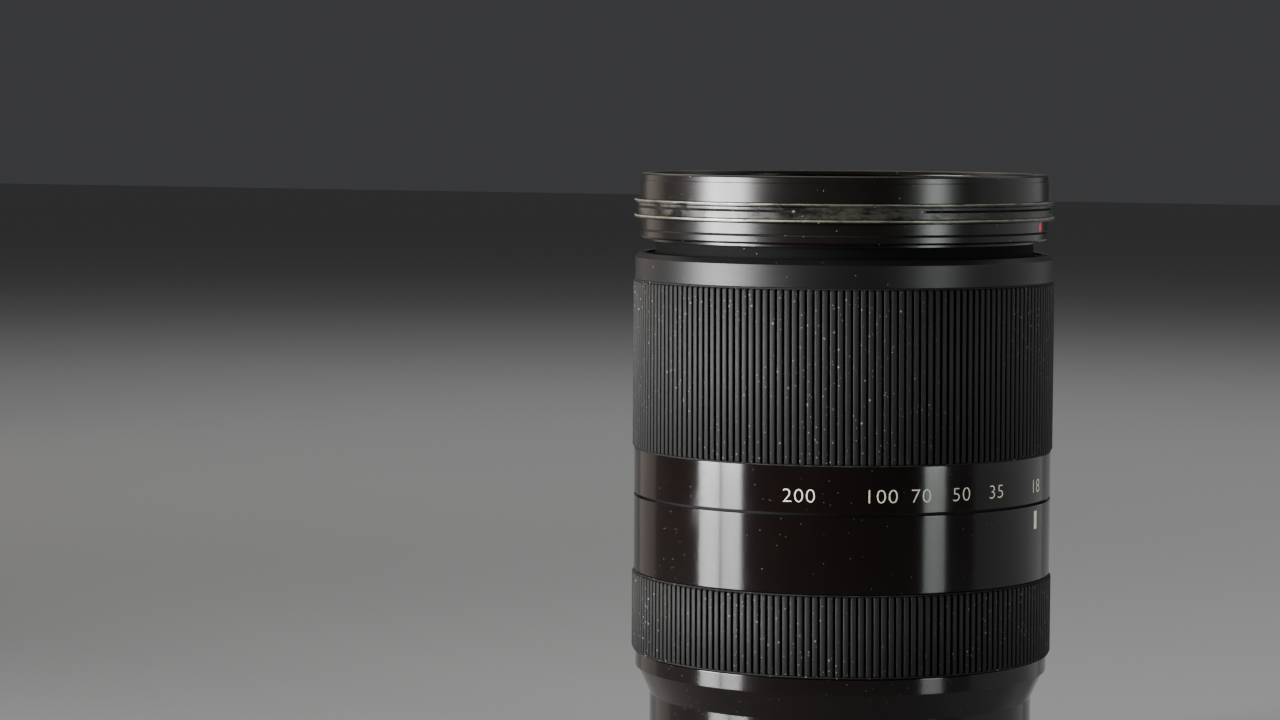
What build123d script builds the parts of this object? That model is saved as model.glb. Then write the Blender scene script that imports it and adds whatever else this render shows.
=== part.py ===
from build123d import *
import os
from math import atan2, cos, degrees, pi, radians, sin

os.makedirs("parts", exist_ok=True)

# A zoom lens for a mirrorless camera, drawn in to its shortest length.
# +Z runs along the optical axis to the front of the lens, z = 0 is the flange face that
# meets the camera, and the index line faces -Y. Millimetres and degrees throughout.

# Bands of the outside, from the mount forward
mount_plate_thickness = 1.4
rear_barrel_length = 12.25
shoulder_length = 4.35
trim_band_width = 2.6
ring_gap = 0.15
focus_ring_width = 12.95
index_band_width = 12.02
zoom_gap = 0.46
scale_width = 7.17
zoom_grip_width = 27.4
cap_ring_width = 4.3
neck_length = 2.3
front_ring_height = 10.5

# Outside radii: the grips are the widest part, and each band is set in from them
barrel_radius = 34.0
rear_barrel_inset = 3.0
shoulder_inset = 1.0
trim_band_inset = 0.63
index_band_inset = 0.27
cap_ring_inset = 0.3
rim_inset = 1.1
hood_ridge_inset = 0.13
hood_waist_inset = 0.5
lower_ring_inset = 1.2

# Nested tubes, from the grips inward: walls and the clearances between them
grip_thickness = 1.4
zoom_ring_wall = 0.85
zoom_to_extension = 0.15
extension_wall = 0.8
extension_to_front = 0.25
front_tube_wall = 0.75
front_to_guide = 0.2
guide_wall = 0.8
guide_to_cam = 0.1
cam_wall = 0.8
cam_to_cell = 0.3
cell_wall = 1.2
cover_wall = 0.8
running_clearance = 0.08

# Zooming: how far the ring turns and how far each group rides forward
zoom_turn = 77.0
front_travel = 58.0
extension_travel = 29.0
variator_travel = 8.0
relay_travel = 26.0
rear_travel = 19.0

# Rollers and keys that guide the moving groups
roller_radius = 1.1
lug_radius = 1.0
slot_clearance = 0.05
groove_depth = 0.4
cutter_overrun = 0.3
sector_count = 3
guide_angle = 90.0
key_angle = guide_angle + 60 - zoom_turn / 2
key_width = 3.0
key_height = 2.4
tongue_width = 3.6

# Rubber grips
rib_count = 180
rib_depth = 0.55
rib_share = 0.7
grip_lip = 0.25
grip_lip_inset = 0.2

# Camera bayonet
throat_radius = 20.5
bayonet_neck_radius = 22.9
bayonet_claw_radius = 24.6
bayonet_depth = 4.0
claw_top = 1.3
claw_thickness = 1.6
claw_span = 38.0
flange_undercut = 0.2
undercut_margin = 0.15
mount_screw_count = 4
mount_screw_circle = 26.6
mount_screw_angle = 45.0
mount_screw_radius = 0.8
mount_screw_head = 1.5
mount_screw_length = 6.0
lock_pin_radius = 1.2
lock_pin_angle = 200.0

# Filter thread and front ring
filter_thread_inset = 3.4
filter_thread_radius = barrel_radius - filter_thread_inset
filter_thread_length = 3.8
hood_track_count = 3

# Heights of the bands
shoulder_z = mount_plate_thickness + rear_barrel_length
trim_z = shoulder_z + shoulder_length
trim_top = trim_z + trim_band_width
focus_z = trim_top + ring_gap
focus_top = focus_z + focus_ring_width
index_z = focus_top + ring_gap
index_top = index_z + index_band_width
scale_z = index_top + zoom_gap
zoom_grip_z = scale_z + scale_width
cap_z = zoom_grip_z + zoom_grip_width
cap_top = cap_z + cap_ring_width
front_ring_z = cap_top + neck_length
rim_z = front_ring_z + front_ring_height

# Radii of the nested tubes
zoom_ring_radius = barrel_radius - grip_thickness
zoom_ring_bore = zoom_ring_radius - zoom_ring_wall
extension_radius = zoom_ring_bore - zoom_to_extension
extension_bore = extension_radius - extension_wall
front_tube_radius = extension_bore - extension_to_front
front_tube_bore = front_tube_radius - front_tube_wall
guide_radius = front_tube_bore - front_to_guide
guide_bore = guide_radius - guide_wall
cam_radius = guide_bore - guide_to_cam
cam_bore = cam_radius - cam_wall
cell_radius = cam_bore - cam_to_cell
cell_bore = cell_radius - cell_wall

# Fixed frame
frame_wall = 0.8
sleeve_radius = zoom_ring_bore - running_clearance
sleeve_bore = sleeve_radius - frame_wall
index_band_bore = barrel_radius - index_band_inset - 0.73
flange_thickness = 1.2
frame_flange_z = index_z + 0.25
frame_flange_top = frame_flange_z + flange_thickness
frame_top = frame_flange_top + 5.0
guide_z = shoulder_z - 0.65
ledge_thickness = 1.0
guide_top = cap_z + 0.7

# Drive key, and the heights of the pieces above it
key_z = frame_top + 1.9
stage_gap = 1.1
extension_z = key_z + key_height / 2 + stage_gap
extension_top = cap_top - 0.3
extension_lug_z = extension_z + 1.5
front_tube_z = extension_lug_z + lug_radius + 1.0
front_lug_z = front_tube_z + 2.0
tongue_z = guide_z + 5.0
slot_z = tongue_z - 0.8
slot_top = guide_top - 1.8


def export(piece, name):
    """Label a finished piece and write it as its own STEP file."""
    piece.part.label = name
    export_step(piece.part, f"parts/{name}.step")


def turned(*corners, mode=Mode.ADD):
    """A turned solid, from (radius, height) corners swung round the optical axis."""
    with BuildSketch(Plane.XZ) as profile:
        with BuildLine():
            Polyline(*corners, close=True)
        make_face()
    return revolve(profile.sketch, axis=Axis.Z, mode=mode)


def tube(outer, inner, low, high, mode=Mode.ADD):
    """A plain tube between two heights."""
    return turned((inner, low), (outer, low), (outer, high), (inner, high), mode=mode)


def sector(outer, inner, start, turn, low, high, mode=Mode.ADD):
    """A piece of a tube that starts at one angle and runs on by another."""
    end = start + turn
    with BuildSketch(Plane.XY.offset(low)) as profile:
        with BuildLine():
            CenterArc((0, 0), inner, start, turn)
            CenterArc((0, 0), outer, start, turn)
            for angle in (start, end):
                direction = Vector(cos(radians(angle)), sin(radians(angle)))
                Line(direction * inner, direction * outer)
        make_face()
    return extrude(profile.sketch, amount=high - low, mode=mode)


def spoke(angle, radius, height):
    """A plane whose normal points outward from the optical axis."""
    outward = Vector(cos(radians(angle)), sin(radians(angle)), 0)
    along = Vector(-sin(radians(angle)), cos(radians(angle)), 0)
    origin = outward * radius + Vector(0, 0, height)
    return Plane(origin=origin, x_dir=along, z_dir=outward)


def pegs(angles, radius, inner, outer, height, mode=Mode.ADD):
    """Round pegs, or holes for them, that lie along the lens radius."""
    for angle in angles:
        with BuildSketch(spoke(angle, inner, height)) as section:
            Circle(radius)
        extrude(section.sketch, amount=outer - inner, mode=mode)


def helical_cutters(turn, rise, half_width, inner, outer):
    """The channel of a groove that climbs as it turns, from angle 0 and height 0, and its round ends."""
    with BuildPart() as channel:
        with BuildLine() as path:
            Helix(rise * 360 / abs(turn), rise, (inner + outer) / 2, lefthand=turn < 0)
        with BuildSketch(Plane(origin=path.line @ 0, x_dir=(1, 0, 0), z_dir=path.line % 0)):
            Rectangle(outer - inner, 2 * half_width)
        sweep(is_frenet=True)
    with BuildPart() as ends:
        pegs((0,), half_width, inner, outer, 0)
        pegs((turn,), half_width, inner, outer, rise)
    return channel.part, ends.part


def cut_grooves(cutters, angles, low):
    """Cut the same groove at several angles, all starting at one height."""
    for angle in angles:
        for cutter in cutters:
            add(cutter.moved(Location((0, 0, low), (0, 0, angle))), mode=Mode.SUBTRACT)


def lens(rim_radius, rear_edge, rear_bulge, front_edge, front_bulge):
    """A glass element: each face rises along +Z by its bulge between the rim and the axis."""
    with BuildSketch(Plane.XZ) as profile:
        with BuildLine():
            rear_pole = (0, rear_edge + rear_bulge)
            front_pole = (0, front_edge + front_bulge)
            Line(rear_pole, front_pole)
            TangentArc(front_pole, (rim_radius, front_edge), tangent=(1, 0))
            Line((rim_radius, front_edge), (rim_radius, rear_edge))
            TangentArc(rear_pole, (rim_radius, rear_edge), tangent=(1, 0))
        make_face()
    return revolve(profile.sketch, axis=Axis.Z)


def thirds(start):
    """Three angles evenly round the lens."""
    return [start + 360 / sector_count * step for step in range(sector_count)]


def ribbed_sleeve(low, high):
    """A rubber sleeve with straight ribs and a plain lip at each end."""
    root_radius = barrel_radius - rib_depth
    rib_pitch = 2 * pi * barrel_radius / rib_count
    with BuildSketch(Plane.XY.offset(low + grip_lip)) as ribs:
        Circle(root_radius)
        with PolarLocations(barrel_radius - 0.6 * rib_depth, rib_count):
            Rectangle(1.2 * rib_depth, rib_share * rib_pitch)
        Circle(zoom_ring_radius, mode=Mode.SUBTRACT)
    extrude(ribs.sketch, amount=high - low - 2 * grip_lip)
    lip_radius = barrel_radius - grip_lip_inset
    tube(lip_radius, zoom_ring_radius, low, low + grip_lip)
    tube(lip_radius, zoom_ring_radius, high - grip_lip, high)


# Mount plate: turned and plated metal, with the bayonet neck and its three claws
mount_plate_radius = barrel_radius - rear_barrel_inset - 0.6
with BuildPart() as mount_plate:
    turned(
        (throat_radius, -bayonet_depth),
        (bayonet_neck_radius, -bayonet_depth),
        (bayonet_neck_radius, flange_undercut),
        (bayonet_claw_radius + undercut_margin, flange_undercut),
        (bayonet_claw_radius + undercut_margin, 0),
        (mount_plate_radius - 0.3, 0),
        (mount_plate_radius, 0.3),
        (mount_plate_radius, mount_plate_thickness),
        (throat_radius, mount_plate_thickness),
    )
    for angle in thirds(-claw_span / 2):
        sector(
            bayonet_claw_radius,
            bayonet_neck_radius - 0.2,
            angle,
            claw_span,
            -claw_top - claw_thickness,
            -claw_top,
        )
    with Locations(Plane.XY.rotated((180, 0, 0))):
        with PolarLocations(mount_screw_circle, mount_screw_count, start_angle=mount_screw_angle):
            CounterSinkHole(mount_screw_radius, mount_screw_head)
    with PolarLocations(mount_screw_circle, 1, start_angle=lock_pin_angle):
        Hole(lock_pin_radius)
export(mount_plate, "mount_plate")

# Screws that hold the mount plate to the frame, heads flush with the flange face
screw_head_set = 0.05
with BuildPart() as mount_screw:
    turned(
        (0, screw_head_set),
        (mount_screw_head - screw_head_set, screw_head_set),
        (mount_screw_radius, screw_head_set + mount_screw_head - mount_screw_radius),
        (mount_screw_radius, mount_screw_length),
        (0, mount_screw_length),
    )
with BuildPart() as mount_screws:
    with PolarLocations(mount_screw_circle, mount_screw_count, start_angle=mount_screw_angle):
        add(mount_screw.part)
export(mount_screws, "mount_screws")

# Electrical contacts: a moulded block in the throat, with gold pads let into its rear face
contact_block_bore = throat_radius - 2.6
contact_block_rear = -3.2
contact_span = 72.0
contact_count = 10
contact_pitch = 6.4
pad_radius = throat_radius - 1.3
pad_size = 1.1
pad_depth = 0.3
contact_angles = [90 + contact_pitch * (step - (contact_count - 1) / 2) for step in range(contact_count)]
pad_stand = 0.05
with BuildPart() as contact_pins:
    for angle in contact_angles:
        with BuildSketch(Plane.XY.offset(contact_block_rear - pad_stand)) as pad:
            with PolarLocations(pad_radius, 1, start_angle=angle):
                Rectangle(pad_size * 1.3, pad_size)
        extrude(pad.sketch, amount=pad_depth + pad_stand)
with BuildPart() as contact_block:
    sector(throat_radius, contact_block_bore, 90 - contact_span / 2, contact_span, contact_block_rear,
           mount_plate_thickness)
    add(contact_pins.part, mode=Mode.SUBTRACT)
export(contact_block, "contact_block")
export(contact_pins, "contact_pins")

# Light baffle behind the rear glass: a black disc with a rounded window
baffle_radius = mount_screw_circle - mount_screw_radius - 2.4
baffle_thickness = 0.8
baffle_window_width = 27.0
baffle_window_height = 19.0
baffle_window_corner = 3.0
with BuildPart() as rear_baffle:
    with BuildSketch(Plane.XY.offset(mount_plate_thickness)) as baffle_face:
        Circle(baffle_radius)
        RectangleRounded(baffle_window_width, baffle_window_height, baffle_window_corner, mode=Mode.SUBTRACT)
    extrude(baffle_face.sketch, amount=baffle_thickness)
export(rear_baffle, "rear_baffle")

# Rear cover: turned tube that narrows from the trim band to the mount
rear_cover_radius = barrel_radius - rear_barrel_inset
shoulder_radius = barrel_radius - shoulder_inset
trim_band_radius = barrel_radius - trim_band_inset
cover_ledge = 1.0
ledge_share = (shoulder_length - cover_ledge) / shoulder_length
ledge_radius = rear_cover_radius + (shoulder_radius - rear_cover_radius) * ledge_share - cover_wall
frame_step_radius = sleeve_radius - 0.5
with BuildPart() as rear_cover:
    turned(
        (rear_cover_radius - cover_wall, mount_plate_thickness),
        (rear_cover_radius, mount_plate_thickness),
        (rear_cover_radius, shoulder_z),
        (shoulder_radius, trim_z),
        (trim_band_radius, trim_z),
        (trim_band_radius, trim_top),
        (trim_band_radius - cover_wall, trim_top),
        (trim_band_radius - cover_wall, trim_z),
        (frame_step_radius, trim_z),
        (frame_step_radius, trim_z - cover_ledge),
        (ledge_radius, trim_z - cover_ledge),
        (rear_cover_radius - cover_wall, shoulder_z),
    )
export(rear_cover, "rear_cover")

# Fixed frame: one moulding that carries the mount, the guide barrel and both rings
frame_foot_radius = rear_cover_radius - cover_wall - 0.1
frame_foot_bore = guide_radius - 0.6
sensor_width = 3.0
sensor_height = 1.6
sensor_z = trim_z + 0.7 + sensor_height / 2
sensor_angles = (200, 215)
boss_radius = 1.7
boss_height = 7.6
guide_screw_z = guide_z + 1.5
guide_screw_radius = 0.6
guide_screw_head = 1.0
frame_web_width = 2.0
with BuildPart() as main_frame:
    turned(
        (frame_foot_bore, mount_plate_thickness),
        (frame_foot_radius, mount_plate_thickness),
        (frame_foot_radius, shoulder_z + 0.35),
        (frame_step_radius, trim_z - cover_ledge - 0.4),
        (frame_step_radius, trim_z + 0.1),
        (sleeve_radius - 0.02, trim_z + 0.1),
        (sleeve_radius - 0.02, frame_flange_z),
        (index_band_bore, frame_flange_z),
        (index_band_bore, frame_flange_top),
        (sleeve_radius, frame_flange_top),
        (sleeve_radius, frame_top),
        (sleeve_bore, frame_top),
        (sleeve_bore, trim_z - 0.6),
        (guide_radius, trim_z - 2.2),
        (guide_radius, guide_z),
        (cell_radius + 0.4, guide_z),
        (cell_radius + 0.4, guide_z - ledge_thickness),
        (frame_foot_bore, guide_z - ledge_thickness),
    )
    with BuildSketch(Plane.XY.offset(mount_plate_thickness)) as bosses:
        with PolarLocations(mount_screw_circle, mount_screw_count, start_angle=mount_screw_angle):
            Circle(boss_radius)
        with PolarLocations((mount_screw_circle + frame_foot_bore) / 2 + 0.2, mount_screw_count,
                            start_angle=mount_screw_angle):
            Rectangle(frame_foot_bore - mount_screw_circle + 0.4, frame_web_width)
    extrude(bosses.sketch, amount=boss_height)
    add(mount_screws.part, mode=Mode.SUBTRACT)
    pegs(thirds(guide_angle + 30), guide_screw_radius, guide_bore, frame_foot_radius + 1, guide_screw_z,
         mode=Mode.SUBTRACT)
    pegs(thirds(guide_angle + 30), guide_screw_head, frame_foot_radius - 0.2, frame_foot_radius + 1,
         guide_screw_z, mode=Mode.SUBTRACT)
    for angle in sensor_angles:
        with Locations(spoke(angle, (sleeve_radius + sleeve_bore) / 2, sensor_z)):
            Box(sensor_width, sensor_height, 3 * frame_wall, mode=Mode.SUBTRACT)
export(main_frame, "main_frame")

# Photo-reflectors that read the focus ring's comb, set in windows of the frame
sensor_face = sleeve_radius + 0.06
sensor_thickness = 1.2
with BuildPart() as focus_sensors:
    for angle in sensor_angles:
        with Locations(spoke(angle, sensor_face - sensor_thickness / 2, sensor_z)):
            Box(sensor_width, sensor_height, sensor_thickness)
export(focus_sensors, "focus_sensors")

# Main circuit board: a ring behind the rear group, notched for the frame's bosses
board_z = mount_plate_thickness + 2.2
board_thickness = 0.8
board_notch_width = 2.6
with BuildPart() as main_board:
    with BuildSketch(Plane.XY.offset(board_z)) as board_face:
        Circle(frame_foot_bore - 0.3)
        Circle(throat_radius + 1.2, mode=Mode.SUBTRACT)
        with PolarLocations(mount_screw_circle, mount_screw_count, start_angle=mount_screw_angle):
            Circle(boss_radius + 0.3, mode=Mode.SUBTRACT)
        with PolarLocations((mount_screw_circle + frame_foot_bore) / 2, mount_screw_count,
                            start_angle=mount_screw_angle):
            Rectangle(frame_foot_bore - mount_screw_circle + 1, board_notch_width, mode=Mode.SUBTRACT)
    extrude(board_face.sketch, amount=board_thickness)
export(main_board, "main_board")

# Guide barrel: fixed tube with three straight slots, three climbing grooves for the extension
# barrel, and a slot round it for the drive key
guide_lip = 1.2
groove_half_width = lug_radius + slot_clearance
slot_half_width = roller_radius + slot_clearance
extension_groove = helical_cutters(
    zoom_turn, extension_travel, groove_half_width, guide_radius - groove_depth - slot_clearance,
    guide_radius + cutter_overrun
)
key_slot_margin = 5.0
with BuildPart() as guide_barrel:
    tube(guide_radius, guide_bore, guide_z, guide_top)
    tube(guide_radius, cell_radius + 0.4, guide_z, guide_z + guide_lip)
    for angle in thirds(guide_angle):
        with BuildSketch(spoke(angle, guide_bore - 1, (slot_z + slot_top) / 2)) as slot:
            SlotOverall(slot_top - slot_z, 2 * slot_half_width, rotation=90)
        extrude(slot.sketch, amount=guide_wall + 2, mode=Mode.SUBTRACT)
    cut_grooves(extension_groove, thirds(key_angle), extension_lug_z)
    sector(guide_radius + 0.5, guide_bore - 0.5, key_angle - key_slot_margin, zoom_turn + 2 * key_slot_margin,
           key_z - key_height / 2 - running_clearance, key_z + key_height / 2 + running_clearance,
           mode=Mode.SUBTRACT)
    pegs(thirds(guide_angle + 30), guide_screw_radius, cell_radius, guide_radius + 1, guide_screw_z,
         mode=Mode.SUBTRACT)
export(guide_barrel, "guide_barrel")

# Radial screws that lock the guide barrel into the frame
with BuildPart() as barrel_screws:
    pegs(thirds(guide_angle + 30), guide_screw_radius, guide_bore + 0.05, frame_foot_radius - 0.2, guide_screw_z)
    pegs(thirds(guide_angle + 30), guide_screw_head, frame_foot_radius - 0.2, frame_foot_radius + 0.05,
         guide_screw_z)
export(barrel_screws, "barrel_screws")

# Zoom lock: a thumb slide in a window of the index band, with a thin plate behind the band
index_band_radius = barrel_radius - index_band_inset
lock_angle = 0.0
lock_travel = 2.0
lock_knob_span = 8.0
lock_knob_height = 3.0
lock_knob_z = index_z + 3.55
lock_knob_radius = barrel_radius + 0.35
lock_plate_span = 15.0
lock_plate_overlap = 0.8
lock_clearance = 0.1
with BuildPart() as zoom_lock_switch:
    sector(lock_knob_radius, index_band_bore - 0.2, lock_angle - lock_knob_span / 2, lock_knob_span,
           lock_knob_z, lock_knob_z + lock_knob_height)
    sector(index_band_bore - 0.05, index_band_bore - 0.25, lock_angle - lock_plate_span / 2, lock_plate_span,
           lock_knob_z - lock_plate_overlap, lock_knob_z + lock_knob_height + lock_plate_overlap)
    for notch in range(3):
        sector(lock_knob_radius + 1, lock_knob_radius - 0.25, lock_angle - lock_knob_span / 2 - 1,
               lock_knob_span + 2, lock_knob_z + 0.5 + 0.8 * notch, lock_knob_z + 0.9 + 0.8 * notch,
               mode=Mode.SUBTRACT)
export(zoom_lock_switch, "zoom_lock_switch")

# Index band: glossy tube over the foot of the zoom ring, with a lip that holds the ring in
index_lip = 0.92
index_lip_bore = zoom_ring_radius + 0.1
paint_depth = 0.1
mark_width = 1.1
mark_length = 2.85
mark_from_top = 0.85
mark_top = index_top - mark_from_top
mark_span = mark_width / index_band_radius * 180 / pi
edge_chamfer = 0.15
with BuildPart() as index_mark:
    sector(index_band_radius + 0.02, index_band_radius - paint_depth, -90 - mark_span / 2, mark_span,
           mark_top - mark_length, mark_top)
export(index_mark, "index_mark")
with BuildPart() as index_band:
    turned(
        (index_band_bore, index_z),
        (index_band_radius - edge_chamfer, index_z),
        (index_band_radius, index_z + edge_chamfer),
        (index_band_radius, index_top - edge_chamfer),
        (index_band_radius - edge_chamfer, index_top),
        (index_lip_bore, index_top),
        (index_lip_bore, index_top - index_lip),
        (index_band_bore, index_top - index_lip),
    )
    add(index_mark.part, mode=Mode.SUBTRACT)
    sector(index_band_radius + 1, index_band_bore - 1, lock_angle - lock_knob_span / 2 - 0.2,
           lock_knob_span + 0.4, lock_knob_z - lock_clearance,
           lock_knob_z + lock_knob_height + lock_travel + lock_clearance, mode=Mode.SUBTRACT)
export(index_band, "index_band")

# Zoom ring: the aluminium body under the grip, with straight grooves for the extension barrel
ring_flange_top = index_top - index_lip - ring_gap
ring_flange_z = ring_flange_top - 1.4
ring_foot_z = frame_flange_top + 0.3
seal_thickness = 1.7
cap_lip = 0.6
zoom_ring_top = cap_top - cap_lip - seal_thickness
lug_length = 3.0
lug_height = 0.3
lug_span = 6.0
lug_z = extension_z + 0.5
key_slot_depth = 0.6
with BuildPart() as zoom_ring:
    turned(
        (zoom_ring_bore, ring_foot_z),
        (zoom_ring_radius, ring_foot_z),
        (zoom_ring_radius, ring_flange_z),
        (index_band_bore - ring_gap, ring_flange_z),
        (index_band_bore - ring_gap, ring_flange_top),
        (zoom_ring_radius, ring_flange_top),
        (zoom_ring_radius, zoom_ring_top),
        (zoom_ring_bore, zoom_ring_top),
    )
    for angle in thirds(key_angle + 60):
        sector(zoom_ring_bore + groove_depth, zoom_ring_bore - 0.5, angle - lug_span / 2 - 0.2, lug_span + 0.4,
               lug_z - 0.4, lug_z + lug_length + extension_travel + 0.4, mode=Mode.SUBTRACT)
    with Locations(spoke(key_angle, zoom_ring_bore, key_z)):
        Box(key_width, key_height, key_slot_depth, mode=Mode.SUBTRACT)
export(zoom_ring, "zoom_ring")

# Drive key: joins the zoom ring to the cam barrel through the guide barrel's slot
key_inner = cam_bore + 0.15
key_outer = zoom_ring_bore + 0.3
with BuildPart() as zoom_drive_key:
    with Locations(spoke(key_angle, (key_inner + key_outer) / 2, key_z)):
        Box(key_width, key_height, key_outer - key_inner)
export(zoom_drive_key, "zoom_drive_key")

# Rubber sleeve of the zoom ring
with BuildPart() as zoom_grip:
    ribbed_sleeve(zoom_grip_z, cap_z)
export(zoom_grip, "zoom_grip")

# Scale ring: glossy band that carries the focal lengths
with BuildPart() as scale_ring:
    turned(
        (zoom_ring_radius, scale_z),
        (index_band_radius - edge_chamfer, scale_z),
        (index_band_radius, scale_z + edge_chamfer),
        (index_band_radius, zoom_grip_z),
        (zoom_ring_radius, zoom_grip_z),
    )
export(scale_ring, "scale_ring")

# Cap ring: closes the front of the zoom ring over the felt seal
cap_ring_radius = barrel_radius - cap_ring_inset
cap_bevel = 0.8
with BuildPart() as cap_ring:
    turned(
        (zoom_ring_radius, cap_z),
        (cap_ring_radius, cap_z),
        (cap_ring_radius, cap_top - cap_bevel),
        (cap_ring_radius - cap_bevel, cap_top),
        (zoom_ring_bore + 0.05, cap_top),
        (zoom_ring_bore + 0.05, cap_top - cap_lip),
        (zoom_ring_radius, cap_top - cap_lip),
    )
export(cap_ring, "cap_ring")

# Felt seal that wipes the extension barrel
with BuildPart() as dust_seal:
    tube(zoom_ring_radius, extension_radius + 0.06, zoom_ring_top, cap_top - cap_lip)
export(dust_seal, "dust_seal")

# Cam barrel: turns inside the guide barrel and lifts each group by its climbing slots
cam_z = guide_z + guide_lip + 0.2
cam_top = guide_top - 0.4
rear_roller_z = guide_z + 7.0
relay_roller_z = rear_roller_z + 11.5
variator_roller_z = guide_top - 15.5
roller_tip = guide_bore + 0.4
group_slots = (
    (rear_roller_z, rear_travel),
    (relay_roller_z, relay_travel),
    (variator_roller_z, variator_travel),
)
cam_cutters = [
    helical_cutters(-zoom_turn, travel, slot_half_width, cam_bore - cutter_overrun, cam_radius + cutter_overrun)
    for _, travel in group_slots
]
with BuildPart() as cam_barrel:
    tube(cam_radius, cam_bore, cam_z, cam_top)
    for (height, _), cutters in zip(group_slots, cam_cutters):
        cut_grooves(cutters, thirds(guide_angle), height)
    add(zoom_drive_key.part, mode=Mode.SUBTRACT)
export(cam_barrel, "cam_barrel")

# Extension barrel: turns with the zoom ring and climbs out of it
front_groove = helical_cutters(
    -zoom_turn, front_travel - extension_travel, groove_half_width, extension_bore - cutter_overrun,
    extension_bore + groove_depth
)
with BuildPart() as extension_barrel:
    tube(extension_radius, extension_bore, extension_z, extension_top)
    cut_grooves(front_groove, thirds(guide_angle), front_lug_z)
    for angle in thirds(key_angle + 60):
        sector(extension_radius + lug_height, extension_radius - 0.2, angle - lug_span / 2, lug_span,
               lug_z, lug_z + lug_length)
    pegs(thirds(key_angle), lug_radius, guide_radius - groove_depth + 0.05, extension_bore + 0.3,
         extension_lug_z)
export(extension_barrel, "extension_barrel")

# Front barrel: moves straight, on three tongues whose feet run in the guide barrel's slots
front_tube_top = front_ring_z + 3.5
tongue_span = tongue_width / front_tube_radius * 180 / pi
with BuildPart() as front_barrel:
    tube(front_tube_radius, front_tube_bore, front_tube_z, front_tube_top)
    for angle in thirds(guide_angle):
        sector(front_tube_radius - 0.1, front_tube_bore + 0.05, angle - tongue_span / 2, tongue_span, tongue_z,
               front_tube_z + 1)
    pegs(thirds(guide_angle), roller_radius, roller_tip + 0.1, front_tube_bore + 0.3, tongue_z + roller_radius)
    pegs(thirds(guide_angle), lug_radius, front_tube_bore + 0.3, extension_bore + groove_depth - 0.1,
         front_lug_z)
export(front_barrel, "front_barrel")

# Front ring: filter thread inside, bayonet for the hood outside
rim_radius = barrel_radius - rim_inset
lower_radius = barrel_radius - lower_ring_inset
ridge_radius = barrel_radius - hood_ridge_inset
waist_radius = barrel_radius - hood_waist_inset
lower_bevel = 0.3
step_radius = lower_radius - 1.4
step_height = 0.45
seam_z = front_ring_z + 1.2
seam_width = 0.3
seam_depth = 0.35
lower_top = front_ring_z + 3.2
ridge_z = front_ring_z + 3.3
ridge_top = front_ring_z + 6.35
ridge_width = 0.5
ridge_bevel = 0.1
ridge_slope = 0.15
hood_groove_z = front_ring_z + 4.95
hood_groove_width = 0.35
hood_groove_depth = 0.35
rim_step_z = rim_z - 1.1
rim_step = 0.12
rim_bevel = 0.3
hood_track_start = -90 - 43.7
hood_track_span = 84.0
filter_seat_z = rim_z - filter_thread_length
filter_seat_radius = filter_thread_radius - 0.6
hood_dot_angle = -90 + 5.6
hood_dot_radius = 0.95
hood_dot_z = (seam_z + seam_width + lower_top) / 2
with BuildPart() as hood_index_dot:
    pegs((hood_dot_angle,), hood_dot_radius * 0.85, lower_radius - paint_depth, lower_radius + 0.02, hood_dot_z)
export(hood_index_dot, "hood_index_dot")
with BuildPart() as front_ring:
    turned(
        (front_tube_radius, front_ring_z - step_height),
        (step_radius, front_ring_z - step_height),
        (step_radius, front_ring_z),
        (lower_radius - lower_bevel, front_ring_z),
        (lower_radius, front_ring_z + lower_bevel),
        (lower_radius, seam_z),
        (lower_radius - seam_depth, seam_z),
        (lower_radius - seam_depth, seam_z + seam_width),
        (lower_radius, seam_z + seam_width),
        (lower_radius, lower_top),
        (lower_radius - ridge_bevel, ridge_z),
        (ridge_radius - ridge_bevel, ridge_z),
        (ridge_radius, ridge_z + ridge_bevel),
        (ridge_radius, ridge_z + ridge_width),
        (waist_radius, ridge_z + ridge_width + ridge_slope),
        (waist_radius, ridge_top - ridge_width - ridge_slope),
        (ridge_radius, ridge_top - ridge_width),
        (ridge_radius, ridge_top - ridge_bevel),
        (ridge_radius - ridge_bevel, ridge_top),
        (rim_radius, ridge_top),
        (rim_radius, rim_step_z),
        (rim_radius - rim_step, rim_step_z),
        (rim_radius - rim_step, rim_z - rim_bevel),
        (rim_radius - rim_step - rim_bevel, rim_z),
        (filter_thread_radius + 0.6, rim_z),
        (filter_thread_radius, rim_z - 0.6),
        (filter_thread_radius, filter_seat_z),
        (filter_seat_radius, filter_seat_z),
        (filter_seat_radius, front_tube_top),
        (front_tube_radius, front_tube_top),
    )
    for step in range(hood_track_count):
        sector(ridge_radius + 1, waist_radius - hood_groove_depth, hood_track_start + step * 360 / hood_track_count,
               hood_track_span, hood_groove_z, hood_groove_z + hood_groove_width, mode=Mode.SUBTRACT)
    add(hood_index_dot.part, mode=Mode.SUBTRACT)
export(front_ring, "front_ring")

# Name ring: black cone between the filter thread and the front glass, left blank
front_lens_radius = front_tube_bore - 3.4
name_ring_z = front_tube_top + 0.1
name_ring_radius = min(front_tube_bore, filter_seat_radius) - 0.1
with BuildPart() as name_ring:
    turned(
        (front_lens_radius - 0.9, name_ring_z),
        (name_ring_radius, name_ring_z),
        (name_ring_radius, name_ring_z + 2.7),
        (name_ring_radius - 0.7, name_ring_z + 2.7),
        (front_lens_radius - 0.9, name_ring_z + 0.6),
    )
export(name_ring, "name_ring")

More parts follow.
